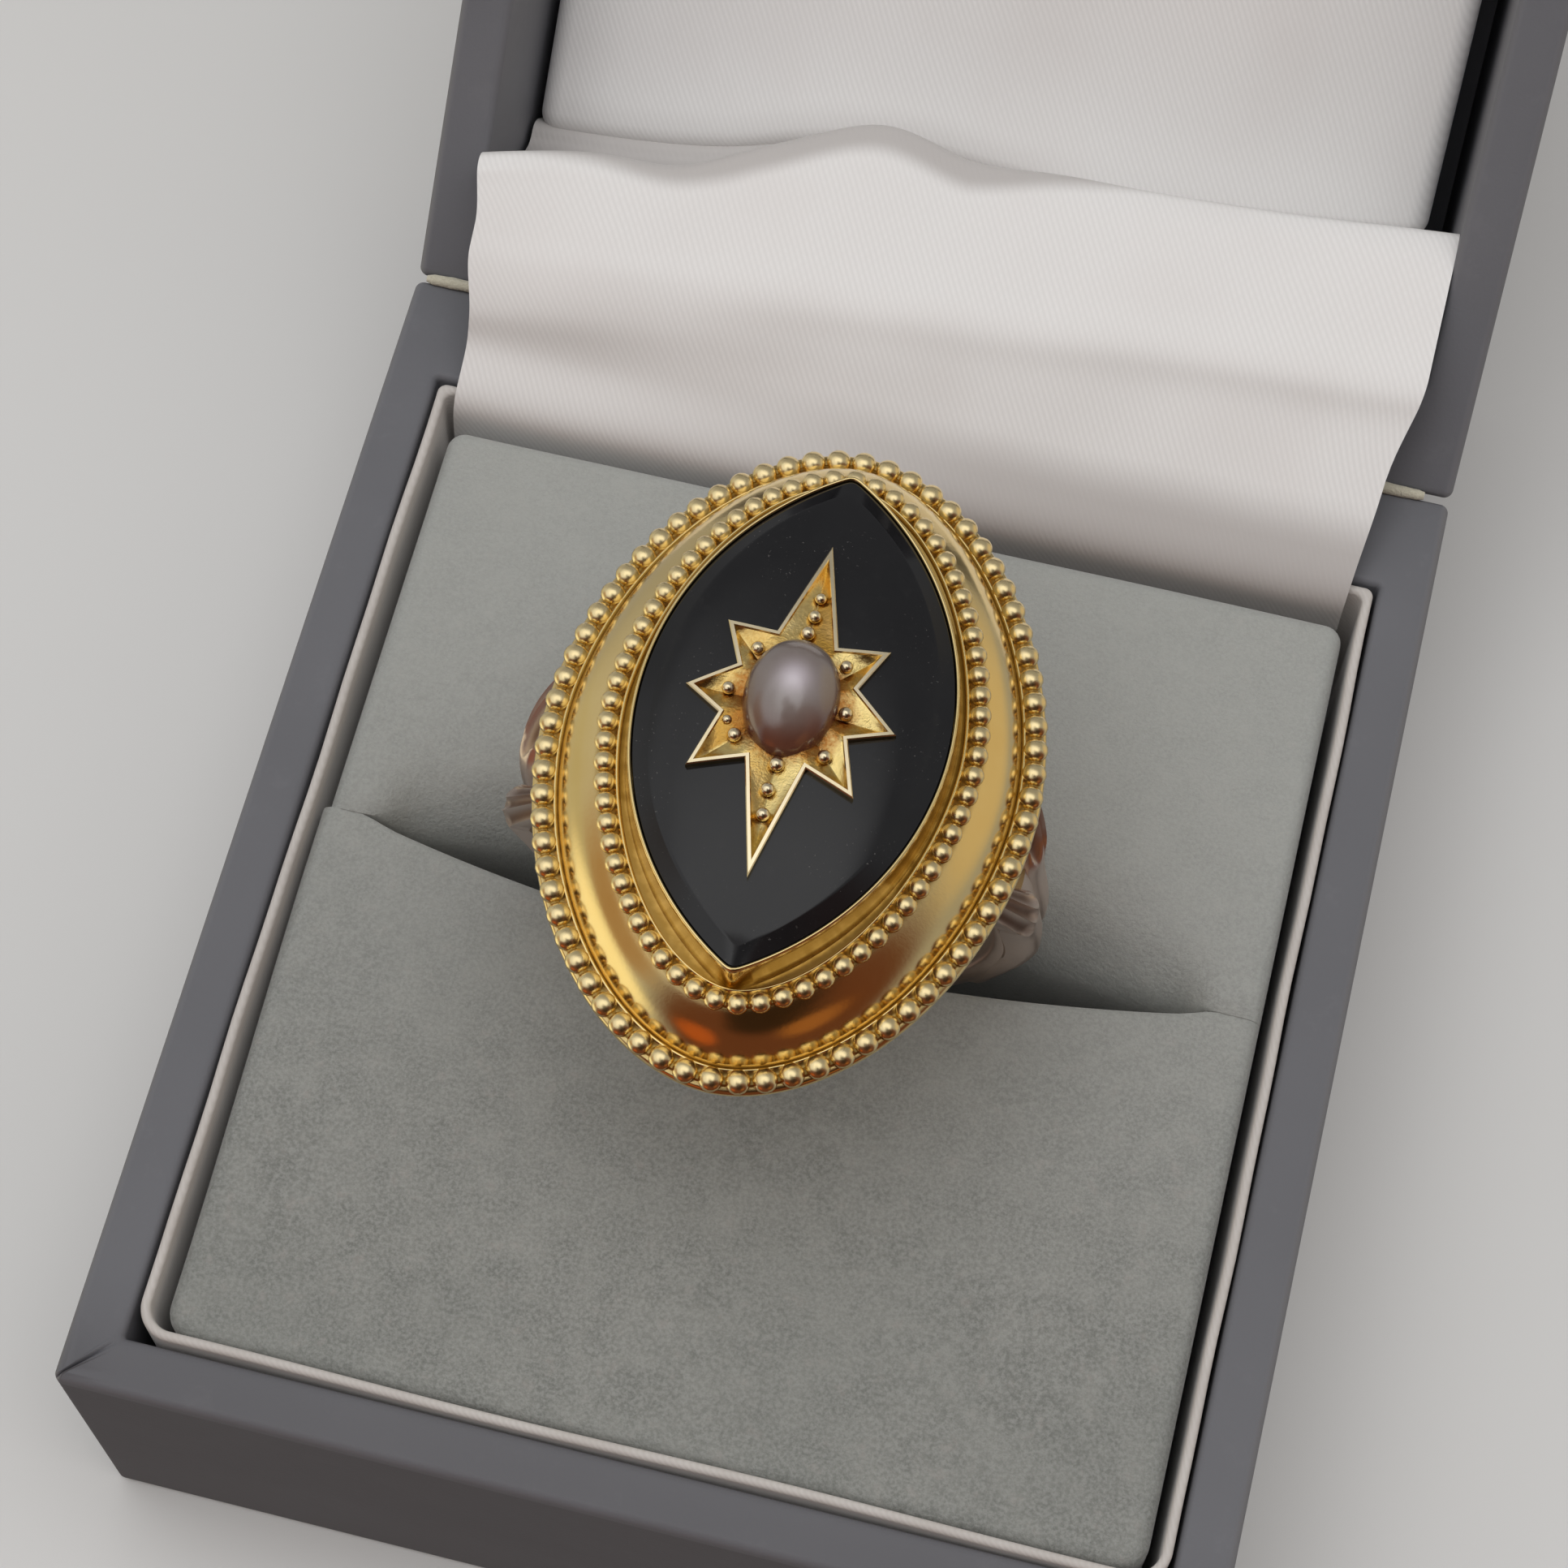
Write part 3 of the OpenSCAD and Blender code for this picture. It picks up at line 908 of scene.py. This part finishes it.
# The star
# An eight pointed gold plate let into the dome, with raised bright edges. The floor of each point is cut as a
# shallow valley with the graver. Grains raised from it hold the pearl and run down the two long points.
star_gold = Finish("star_gold", Metallic=1.0)
# painted shade: none on the rims and grain tops, which get a painted highlight, more on the floors, most near
# the pearl
star_grime = star_gold.painted("grime")
# painted shade on each cut side of the points, lit and shaded copies of the same gold
star_facet = star_gold.painted("facet")
star_stipple = star_gold.noise(0.16, 3, 0.65)
star_cloud = star_gold.noise(0.9, 3, 0.6)
star_rim = star_gold.mix(star_cloud, (0.9, 0.75, 0.46), (0.97, 0.84, 0.6))
star_bright = star_gold.mix(star_cloud, (0.9, 0.66, 0.22), (0.98, 0.8, 0.38))
star_dull = star_gold.mix(star_cloud, (0.52, 0.27, 0.05), (0.68, 0.42, 0.1))
star_deep = star_gold.mix(star_stipple, (0.34, 0.1, 0.02), (0.55, 0.22, 0.04))
star_shadow = (star_facet + 0.5 * (star_stipple - 0.5)).above(0.05, 0.85)
star_floor = star_gold.mix(star_shadow, star_bright, star_dull)
star_tone = star_gold.mix((star_grime * 2).above(0, 1), star_rim, star_floor)
star_tone = star_gold.mix((star_grime * (0.7 + 0.6 * star_stipple)).above(0.6, 1.15), star_tone, star_deep)
star_gold.surface(
    Base_Color=star_tone,
    Roughness=0.14 + 0.14 * star_grime + 0.08 * star_cloud,
    Normal=star_gold.bump(star_stipple * star_grime, 0.04),
)

# columns: a point's tip across and along, and the notch that follows it
star_points = [
    [0.05, 6.9, -1.2, 2.9],
    [-3.1, 3.0, -2.35, 1.25],
    [-4.05, 0.1, -2.6, -0.85],
    [-3.3, -3.2, -1.2, -2.5],
    [-0.05, -7.1, 1.1, -2.45],
    [3.05, -3.2, 2.35, -0.95],
    [4.05, -0.3, 2.3, 1.2],
    [3.15, 3.0, 1.2, 2.7],
]
star_corners = np.array(star_points).reshape(-1, 2)
cut_steps = 8


def inset_corners(outline, by):
    """An outline with straight sides, moved inwards by an even distance."""
    moved = []
    for i, here in enumerate(outline):
        before = here - outline[i - 1]
        after = outline[(i + 1) % len(outline)] - here
        n0 = np.array([-before[1], before[0]]) / np.linalg.norm(before)
        n1 = np.array([-after[1], after[0]]) / np.linalg.norm(after)
        moved.append(here + (n0 + n1) * by / (1 + n0 @ n1))
    return np.array(moved)


def along_sides(outline):
    """An outline with straight sides, with points added along each side."""
    share = np.arange(cut_steps)[None, :, None] / cut_steps
    following = np.roll(outline, -1, 0)
    return (outline[:, None] * (1 - share) + following[:, None] * share).reshape(-1, 2)


rim_w = 0.16
rim_lift = 0.3
rim_slope_w = 0.04
floor_top = rim_lift - 0.09
valley_lift = 0.01
ridge_lift = 0.24
to_notch = np.arange(cut_steps) / cut_steps
toward_notch = np.tile(np.concatenate([to_notch, 1 - to_notch]), len(star_points))
# painted shade on each cut side, from the top point's left side round by the left
side_dullness = [0.35, 0.5, 0.35, 0.45, 0.55, 0.8, 0.2, 0.55, 0.05, 0.6, 0.05, 0.7, 0.1, 0.75, 0.1, 0.95]
star_rings, star_dirt = [], []
# columns: how far in from the outline, height above the dome, painted shade
rim_run = [
    [0, -0.1, 0.6], [0, rim_lift - 0.05, 0.1], [rim_slope_w, rim_lift, 0], [rim_w, rim_lift, 0],
    [rim_w + rim_slope_w, floor_top, 0.45],
]
for by, lift, dirt in rim_run:
    floor_line = along_sides(inset_corners(star_corners, by))
    star_rings.append(level(floor_line, crown(*floor_line.T) + lift))
    star_dirt.append(np.full(len(floor_line), dirt))
for share in (0.94, 0.86, 0.76, 0.66, 0.56, 0.46, 0.36, 0.26, 0.1):
    ring = floor_line * share
    deep = smooth(1 - share, 0, 0.1)
    lift = floor_top * (1 - deep) + deep * (valley_lift * (1 - toward_notch) + ridge_lift * toward_notch)
    star_rings.append(level(ring, crown(*ring.T) + lift))
    # painted shade near the pearl and towards each valley
    near_pearl = smooth(-np.hypot(*ring.T), -3.2, -1.9)
    star_dirt.append(np.clip(0.36 + 0.6 * near_pearl + 0.12 * (1 - toward_notch), 0, 1))
star_skins = [loft(star_rings)]
star_facets = [np.repeat(side_dullness, cut_steps)] * len(star_rings)

# columns: a grain's place across and along, and its radius
star_grains = [
    [0.1, 4.6, 0.224], [0.05, 3.8, 0.2576], [-0.05, 3.05, 0.28], [1.65, 2.0, 0.2576], [2.05, 0.1, 0.28],
    [1.65, -1.8, 0.28], [0.0, -2.5, 0.3024], [-0.1, -3.55, 0.28], [-0.05, -4.55, 0.2688], [-1.8, -1.65, 0.28],
    [-2.45, 0.2, 0.2576], [-1.75, 2.05, 0.2576], [-2.2, -1.1, 0.1904],
]
grain_rises = np.linspace(-0.5, 1.4, 9)
grain_around = 14
grain_lift = 0.2
grain_height = 0.9
# painted shadow under each grain, and a painted highlight on its top
grain_dirt = np.repeat(np.linspace(1.1, -1.6, len(grain_rises)).clip(0, 1), grain_around)
for x, y, radius in star_grains:
    centre = (x, y, crown(x, y) + grain_lift)
    star_skins.append(ball(centre, radius, grain_rises, grain_around, top=grain_height, foot=grain_height))
    star_dirt.append(grain_dirt)
    star_facets.append(np.zeros(len(grain_dirt)))
make_piece("star_plate", gathered(star_skins), star_gold, "base", "yellow_gold", ["star"], ring_place,
           sharp=28, grime=star_dirt, facet=star_facets)

# The pearl
# A natural half pearl, longer than wide and not quite regular. It is silver grey, with a painted highlight on
# top, and a painted reflection of the gold, brownish pink, towards its seat.
nacre = Finish("pearl", Roughness=0.25, Specular_IOR_Level=0.8, Coat_Weight=0.6, Coat_IOR=1.9,
               Coat_Roughness=0.12)
pearl_cloud = nacre.noise(0.7, 3, 0.6)
pearl_tone = nacre.mix(pearl_cloud, (0.15, 0.115, 0.1), (0.19, 0.155, 0.14))
nacre.surface(
    # painted reflection of the gold seat on the pearl's lower front, and a painted highlight on top
    Base_Color=nacre.layers(pearl_tone, (nacre.painted("low"), (0.12, 0.045, 0.028)),
                            (nacre.painted("glow") * 0.9, (0.56, 0.5, 0.55))),
    Normal=nacre.bump(pearl_cloud, 0.012),
)

pearl_a = 1.78
pearl_b = 2.38
pearl_h = 1.5
pearl_at = (-0.06, 0.2)
pearl_seat = crown(*pearl_at) + 0.2
pearl_tilt = math.radians(8)
pearl_around = 64
pearl_rises = np.linspace(-0.35, 1.5, 30)
glow_y = 0.45
glow_r = 0.6
pearl_rings, pearl_lows, pearl_glows = [], [], []
turn = full_turn(pearl_around)
for rise in pearl_rises:
    wide = math.cos(rise) * (1 + 0.015 * np.sin(2 * turn + 1) + 0.01 * np.sin(3 * turn + rise * 2))
    x = pearl_a * wide * np.cos(turn) + pearl_at[0]
    along = pearl_b * wide * np.sin(turn)
    up = pearl_h * math.sin(rise)
    y = along * math.cos(pearl_tilt) - up * math.sin(pearl_tilt) + pearl_at[1]
    z = along * math.sin(pearl_tilt) + up * math.cos(pearl_tilt) + pearl_seat
    pearl_rings.append(np.stack([x, y, z], 1))
    # painted reflection of the gold, browner low down and at the front
    pearl_lows.append(smooth(-np.sin(turn) * 0.5 * wide - math.sin(rise), -0.95, -0.1))
    # painted highlight on the pearl's top
    pearl_glows.append(np.exp(-(x ** 2 + (y - glow_y) ** 2) / glow_r ** 2) * (rise > 0))
make_piece("half_pearl", loft(pearl_rings), nacre, "base", "pearl", ["pearl"], ring_place, sharp=60,
           low=pearl_lows, glow=pearl_glows)

# The hinge strip
# A cream cloth tape glued into the hinge gap. Only its raw edge shows, as a thin bright line at each end. It
# reaches the left end of the gap and stops short of the right one. The shut lid presses it flat.
tape = Finish("cream_tape", Roughness=0.9, Sheen_Weight=0.2)
tape_thread = tape.noise(0.12, 3, 0.7)
tape.surface(
    Base_Color=tape.mix(tape_thread, (0.5, 0.47, 0.36), (0.78, 0.74, 0.6)),
    Normal=tape.bump(tape_thread, 0.08),
)
strip_low, strip_high = span("hinge_strip")
strip_middle = (strip_low + strip_high) / 2
strip_right = 22.3
strip_r = 0.25
strip_steps = 160
strip_around = 14
ragged_end = 0.35
ragged_share = 0.35
strip_rings = []
turn = full_turn(strip_around)
for x in np.linspace(strip_low[0], strip_right, strip_steps):
    from_end = min(x - strip_low[0], strip_right - x)
    thread = strip_r * (1 + 0.05 * math.sin(x * 3.1) + 0.04 * math.sin(x * 7.7))
    thread *= 1 - ragged_share * (1 - smooth(from_end, 0, ragged_end))
    y = strip_middle[1] + thread * np.cos(turn)
    z = strip_middle[2] + thread * np.sin(turn) + 0.03 * math.sin(x * 1.7)
    strip_rings.append(np.stack([np.full(strip_around, x), y, z], 1))
hinge_tape = make_piece("hinge_tape", loft(strip_rings), tape, "base", "cream_tape", ["hinge_strip"])
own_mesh(hinge_tape)

# The lid
# A second stiff shell, moulded and wrapped in paper as the base is, and deeper. It stands open at the hinge's
# limit. It is worked out shut, upside down on the base, and then turned open.
hinge = frame["joints"][0]
hinge_at = np.array(hinge["pos_m"]) / mm
lid_open = math.radians(hinge["range_deg"][1])
lid_place = (Matrix.Translation(hinge_at * mm) @ Matrix.Rotation(-lid_open, 4, "X")
             @ Matrix.Translation(-hinge_at * mm))
rim_z = 17.25
lid_h = 22.55
lid_top_t = 1.1
(lid_points, lid_faces), lid_marks = wrapped_shell(tray_low, np.array([*tray_high[:2], lid_h]), lid_top_t)
lid_points[:, 2] = rim_z + lid_h - lid_points[:, 2]
make_piece("lid_cover", (lid_points, lid_faces), leatherette, "lid", "leatherette", ["lid_shell"], lid_place,
           edge=lid_marks)

# The lid's cushion
# Foam under white satin, pulled tight over its edges and glued into the lid. Its near end is cut a little
# askew. It gives way to the ring as the lid shuts.
cushion_half = 20.05
cushion_left = -20.8
cushion_right = 20.0
cushion_near = 6.1
cushion_far = 48.8
cushion_foot = 0.2
cushion_thick = 13.75
cushion_corner = 1.0
cushion_edge = 0.9
cushion_swell = 0.3
cushion_swell_reach = 21
# columns: across, how much further from the hinge the cushion's near end lies
cushion_skew = [
    [-21, 0], [-16, 0.3], [-12, 0.9], [-8.4, 1.9], [-4.2, 2.6], [0, 2.3], [5, 2.2], [12, 2.6], [20.4, 3.5],
]
cushion_low = np.array([cushion_left, hinge_at[1] - cushion_far, cushion_foot])
cushion_high = np.array([cushion_right, hinge_at[1] - cushion_near, cushion_thick])
cushion_points, cushion_faces = padded_block(cushion_low, cushion_high, cushion_corner, cushion_edge,
                                             across=90, along=90)
x, y, z = cushion_points.T.copy()
skew = np.interp(x, *curve(cushion_skew, 8).T)
y = y - smooth(y, cushion_high[1] - 12, cushion_high[1]) * skew
upper = smooth(z, 9, 13.4)
from_middle = (y - (cushion_low[1] + cushion_high[1]) / 2) / cushion_swell_reach
middle = ((1 - (x / cushion_half) ** 2).clip(0, 1) * (1 - from_middle ** 2)).clip(0, 1)
ripple = 0.12 * np.sin(x * 0.2 + 0.4) * np.sin(y * 0.23 + 1) + 0.05 * np.sin(x * 0.5 + y * 0.3)
z = z + upper * (cushion_swell * middle ** 0.6 + ripple)
near_end = cushion_high[1] - skew
# painted shade on the left of the cushion's near end
cushion_handled = 0.35 * smooth(y, near_end - 2.2, near_end - 0.5) * (1 - smooth(x, -1, 6))
cushion_cloth = np.stack([x, -y, z * 0.7], 1) * mm
lid_top_inside = rim_z + lid_h - lid_top_t
cushion = make_piece("lid_cushion_satin", (np.stack([x, y, lid_top_inside - z], 1), cushion_faces), satin,
                     "lid", "satin", ["lid_cushion"], lid_place, sharp=80,
                     cloth=[cushion_cloth], handled=[cushion_handled])
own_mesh(cushion)

# The satin flap
# A loose piece of satin, glued down behind the pad and in the lid, that hides the hinge. It rises to a bend,
# runs back to one soft fold, further back on the right, and drops steeply in front of the lid's cushion.
flap_thick = 0.22
flap_base_y = 20.0
flap_right_lean = 0.6
flap_steps = 10
route_steps = 8
# the crest is half way from the ninth to the tenth of a route's own points
crest_at = int(8.5 * route_steps)
lid_down = np.array(lid_place.to_3x3())[1:, 2] * -1

# columns: across, bend back, bend up, crest back, crest up, foot back, foot up, steepness behind the crest
flap_folds = [
    [-20.2, 24.7, 21.5, 28.9, 23.2, 35.9, 15.5, 1.0],
    [-16, 25.0, 21.9, 30.1, 23.3, 36.1, 15.7, 1.0],
    [-12.3, 25.4, 22.1, 30.4, 23.3, 36.5, 16.1, 1.0],
    [-8.5, 25.9, 22.2, 32.4, 23.4, 37.3, 16.8, 0.8],
    [-4.3, 26.3, 22.2, 34.4, 23.5, 37.8, 17.2, 0.6],
    [0, 26.6, 22.2, 33.7, 23.3, 37.6, 17.0, 0.6],
    [4, 26.9, 22.2, 33.9, 23.3, 37.5, 17.0, 0.6],
    [11, 27.5, 22.1, 34.2, 23.3, 37.8, 17.2, 0.6],
    [20.5, 28.1, 22.1, 35.1, 23.4, 38.5, 17.8, 0.6],
]
flap_rows = []
for x, *turns, steep in curve(flap_folds, flap_steps):
    bend, crest, foot = np.reshape(turns, (3, 2))
    lean = np.interp(x, [-20, 20], [0, flap_right_lean])
    # a line along the flap, as how far back and how far up, from behind the pad to the lid
    route = curve([
        [flap_base_y, 12.2], [flap_base_y + 0.03, 15], [flap_base_y + 0.35, 17.3], [22.3 + lean, 18.9],
        bend - [1.5, 1.15], bend, bend + (crest - bend) * 0.3 + [0, 0.1],
        bend + (crest - bend) * 0.72 + [0, 0.16], crest - [0.45, 0.04], crest + [0.4, -0.3],
        crest * 0.8 + foot * 0.2 - np.array([0.3, 0.3]) * steep,
        crest * 0.5 + foot * 0.5 - np.array([1.0, 1.2]) * steep,
        foot - [1.1 * steep, 0.4], foot - lid_down * 0.5, foot - lid_down * 2.2,
    ], route_steps)
    flap_rows.append(np.column_stack([np.full(len(route), x), route]))
flap_grid = np.array(flap_rows)
x = flap_grid[:, :, 0].copy()
paces = np.linalg.norm(np.diff(flap_grid, axis=1), axis=2)
run = np.concatenate([np.zeros((len(flap_grid), 1)), np.cumsum(paces, 1)], 1)

# the side edges wander, and the loose part ripples a little
left_out = 0.25 * smooth(run, 2, 8) - 0.5 * smooth(run, 9, 12) - 0.5 * smooth(run, 13, 16)
right_out = -0.6 + 0.5 * smooth(run, 4, 11) + 0.8 * smooth(run, 10, 15)
flap_grid[:, :, 0] = x + np.where(x < 0, left_out, right_out) * smooth(np.abs(x), 12, 20.2)
loose = smooth(run, 5, 11) * (1 - smooth(run, 19, 24))
flap_grid[:, :, 2] += loose * (0.07 * np.sin(x * 0.42 + run * 0.25) + 0.04 * np.sin(x * 0.9 - run * 0.5 + 2))

normal = np.cross(np.gradient(flap_grid, axis=0), np.gradient(flap_grid, axis=1))
normal /= np.linalg.norm(normal, axis=2)[:, :, None]
top_points = (flap_grid + normal * flap_thick / 2).reshape(-1, 3)
under_points = (flap_grid - normal * flap_thick / 2).reshape(-1, 3)
quads, rim = grid_faces(*flap_grid.shape[:2])
under = len(top_points)
flap_faces = quads + [tuple(i + under for i in quad[::-1]) for quad in quads]
for a, b in zip(rim, rim[1:] + rim[:1]):
    flap_faces.append((b, a, a + under, b + under))

# painted shade: grey below the bend on the right and behind the crest
below_bend = smooth(x, -19, 8) * (1 - smooth(run, 6.8, 9.2))
shade_late = np.interp(x, [-19, -15, -10, 0, 3, 8], [0.3, -0.4, -1.1, -1.2, -0.6, 0.4])
shade_from = run[:, crest_at:crest_at + 1] + shade_late
behind_crest = smooth(run, shade_from - 0.4, shade_from + 0.6)
handled = (0.95 * below_bend + 0.9 * behind_crest).ravel()
flap_cloth = np.stack([x, run, np.zeros_like(run)], 2).reshape(-1, 3) * mm
flap = make_piece("satin_flap_cloth", (np.concatenate([top_points, under_points]), flap_faces), satin, None,
                  "satin", ["satin_flap"], sharp=80, cloth=[flap_cloth] * 2, handled=[handled] * 2)
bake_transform(flap)

# The set
# A pale floor in a soft lit room, brighter on the left and above, dim at the back and dark on the near side.
# Two broad soft lamps hang overhead. Polished gold and onyx mirror the room, but not the lamps or the floor.
floor_finish = Finish("pale_floor", Roughness=0.8, Specular_IOR_Level=0.15)
floor_cloud = floor_finish.noise(60, 2, 0.5)
floor_finish.surface(Base_Color=floor_finish.mix(floor_cloud, (0.71, 0.71, 0.7), (0.75, 0.75, 0.74)))
floor_half = 1.5
floor_z = -0.00002
floor_corners = [(x * floor_half, y * floor_half, floor_z) for x, y in ((-1, -1), (1, -1), (1, 1), (-1, 1))]
floor_mesh = bpy.data.meshes.new("floor")
floor_mesh.from_pydata(floor_corners, [], [(0, 1, 2, 3)])
floor_mesh.materials.append(floor_finish.material)
floor = put("floor", floor_mesh)
floor.visible_glossy = False

camera_data = bpy.data.cameras.new("camera")
camera_data.lens = 87.99
camera_data.sensor_width = 36
camera_data.clip_start = 0.005
camera_data.clip_end = 10
camera = put("camera", camera_data)
camera.location = (0.01364, -0.05686, 0.16565)
camera.rotation_euler = (0.410, -0.003, 0.244)
bpy.context.scene.camera = camera

world = bpy.data.worlds.new("room")
world.use_nodes = True
room = Nodes(world.node_tree)
facing = room.node("TexCoord", {}, {}, 0)

# each is a round soft edged patch: its colour, the way to it, and its outer and inner edge in degrees
room_patches = {
    "pale left": ((0.52, 0.51, 0.48), (-1, 0.0, 0.15), 46, 22),
    "warm right": ((0.58, 0.49, 0.34), (0.88, 0.47, 0.1), 34, 14),
    "dim back": ((0.28, 0.28, 0.285), (0, 0.75, 0.66), 45, 20),
    "brown near side": ((0.12, 0.045, 0.025), (0.33, -0.94, 0.2), 74, 56),
    "dark near side": ((0.03, 0.016, 0.01), (0.4, -0.72, 0.57), 34, 16),
    "orange near left": ((0.42, 0.1, 0.025), (-0.34, -0.93, -0.08), 18, 7),
    "orange near right": ((0.3, 0.12, 0.04), (0.74, -0.67, 0.05), 16, 7),
    "brown left": ((0.38, 0.25, 0.14), (-0.93, -0.25, 0.28), 26, 10),
    "pale low left": ((0.5, 0.47, 0.36), (-0.92, 0.05, -0.38), 34, 14),
    "bright low left": ((1.1, 1.02, 0.74), (-0.88, -0.32, -0.34), 26, 12),
    "bright upper left": ((0.85, 0.85, 0.85), (-0.42, -0.12, 0.9), 44, 24),
    "bright ceiling": ((1.2, 1.2, 1.2), (-0.04, 0, 1), 32, 18),
    "dark high near side": ((0.1, 0.09, 0.085), (0.093, -0.389, 0.917), 18, 9),
    "dim spot": ((0.45, 0.43, 0.42), (-0.1, -0.14, 0.985), 9, 4),
}
walls = (0.36, 0.36, 0.36)
for colour, toward, outer, inner in room_patches.values():
    toward = np.array(toward) / np.linalg.norm(toward)
    mask = room.dot(facing, toward).above(math.cos(math.radians(outer)), math.cos(math.radians(inner)))
    walls = room.mix(mask, walls, colour)
room.feed(world.node_tree.nodes["Background"].inputs["Color"], walls)
bpy.context.scene.world = world

lamp_away = 0.5
lamps = (("softbox", (-0.05, -0.12, 0.99), 0.4, 0.8), ("fill", (0.6, -0.1, 0.8), 0.4, 0.36))
for name, toward, size, power in lamps:
    lamp_data = bpy.data.lights.new(name, "AREA")
    lamp_data.size = size
    lamp_data.energy = power
    lamp = put(name, lamp_data)
    lamp.location = np.array(toward) * lamp_away
    lamp.rotation_euler = lamp.location.to_track_quat("Z", "Y").to_euler()
    lamp.visible_glossy = False
bpy.context.scene.view_settings.view_transform = "Standard"
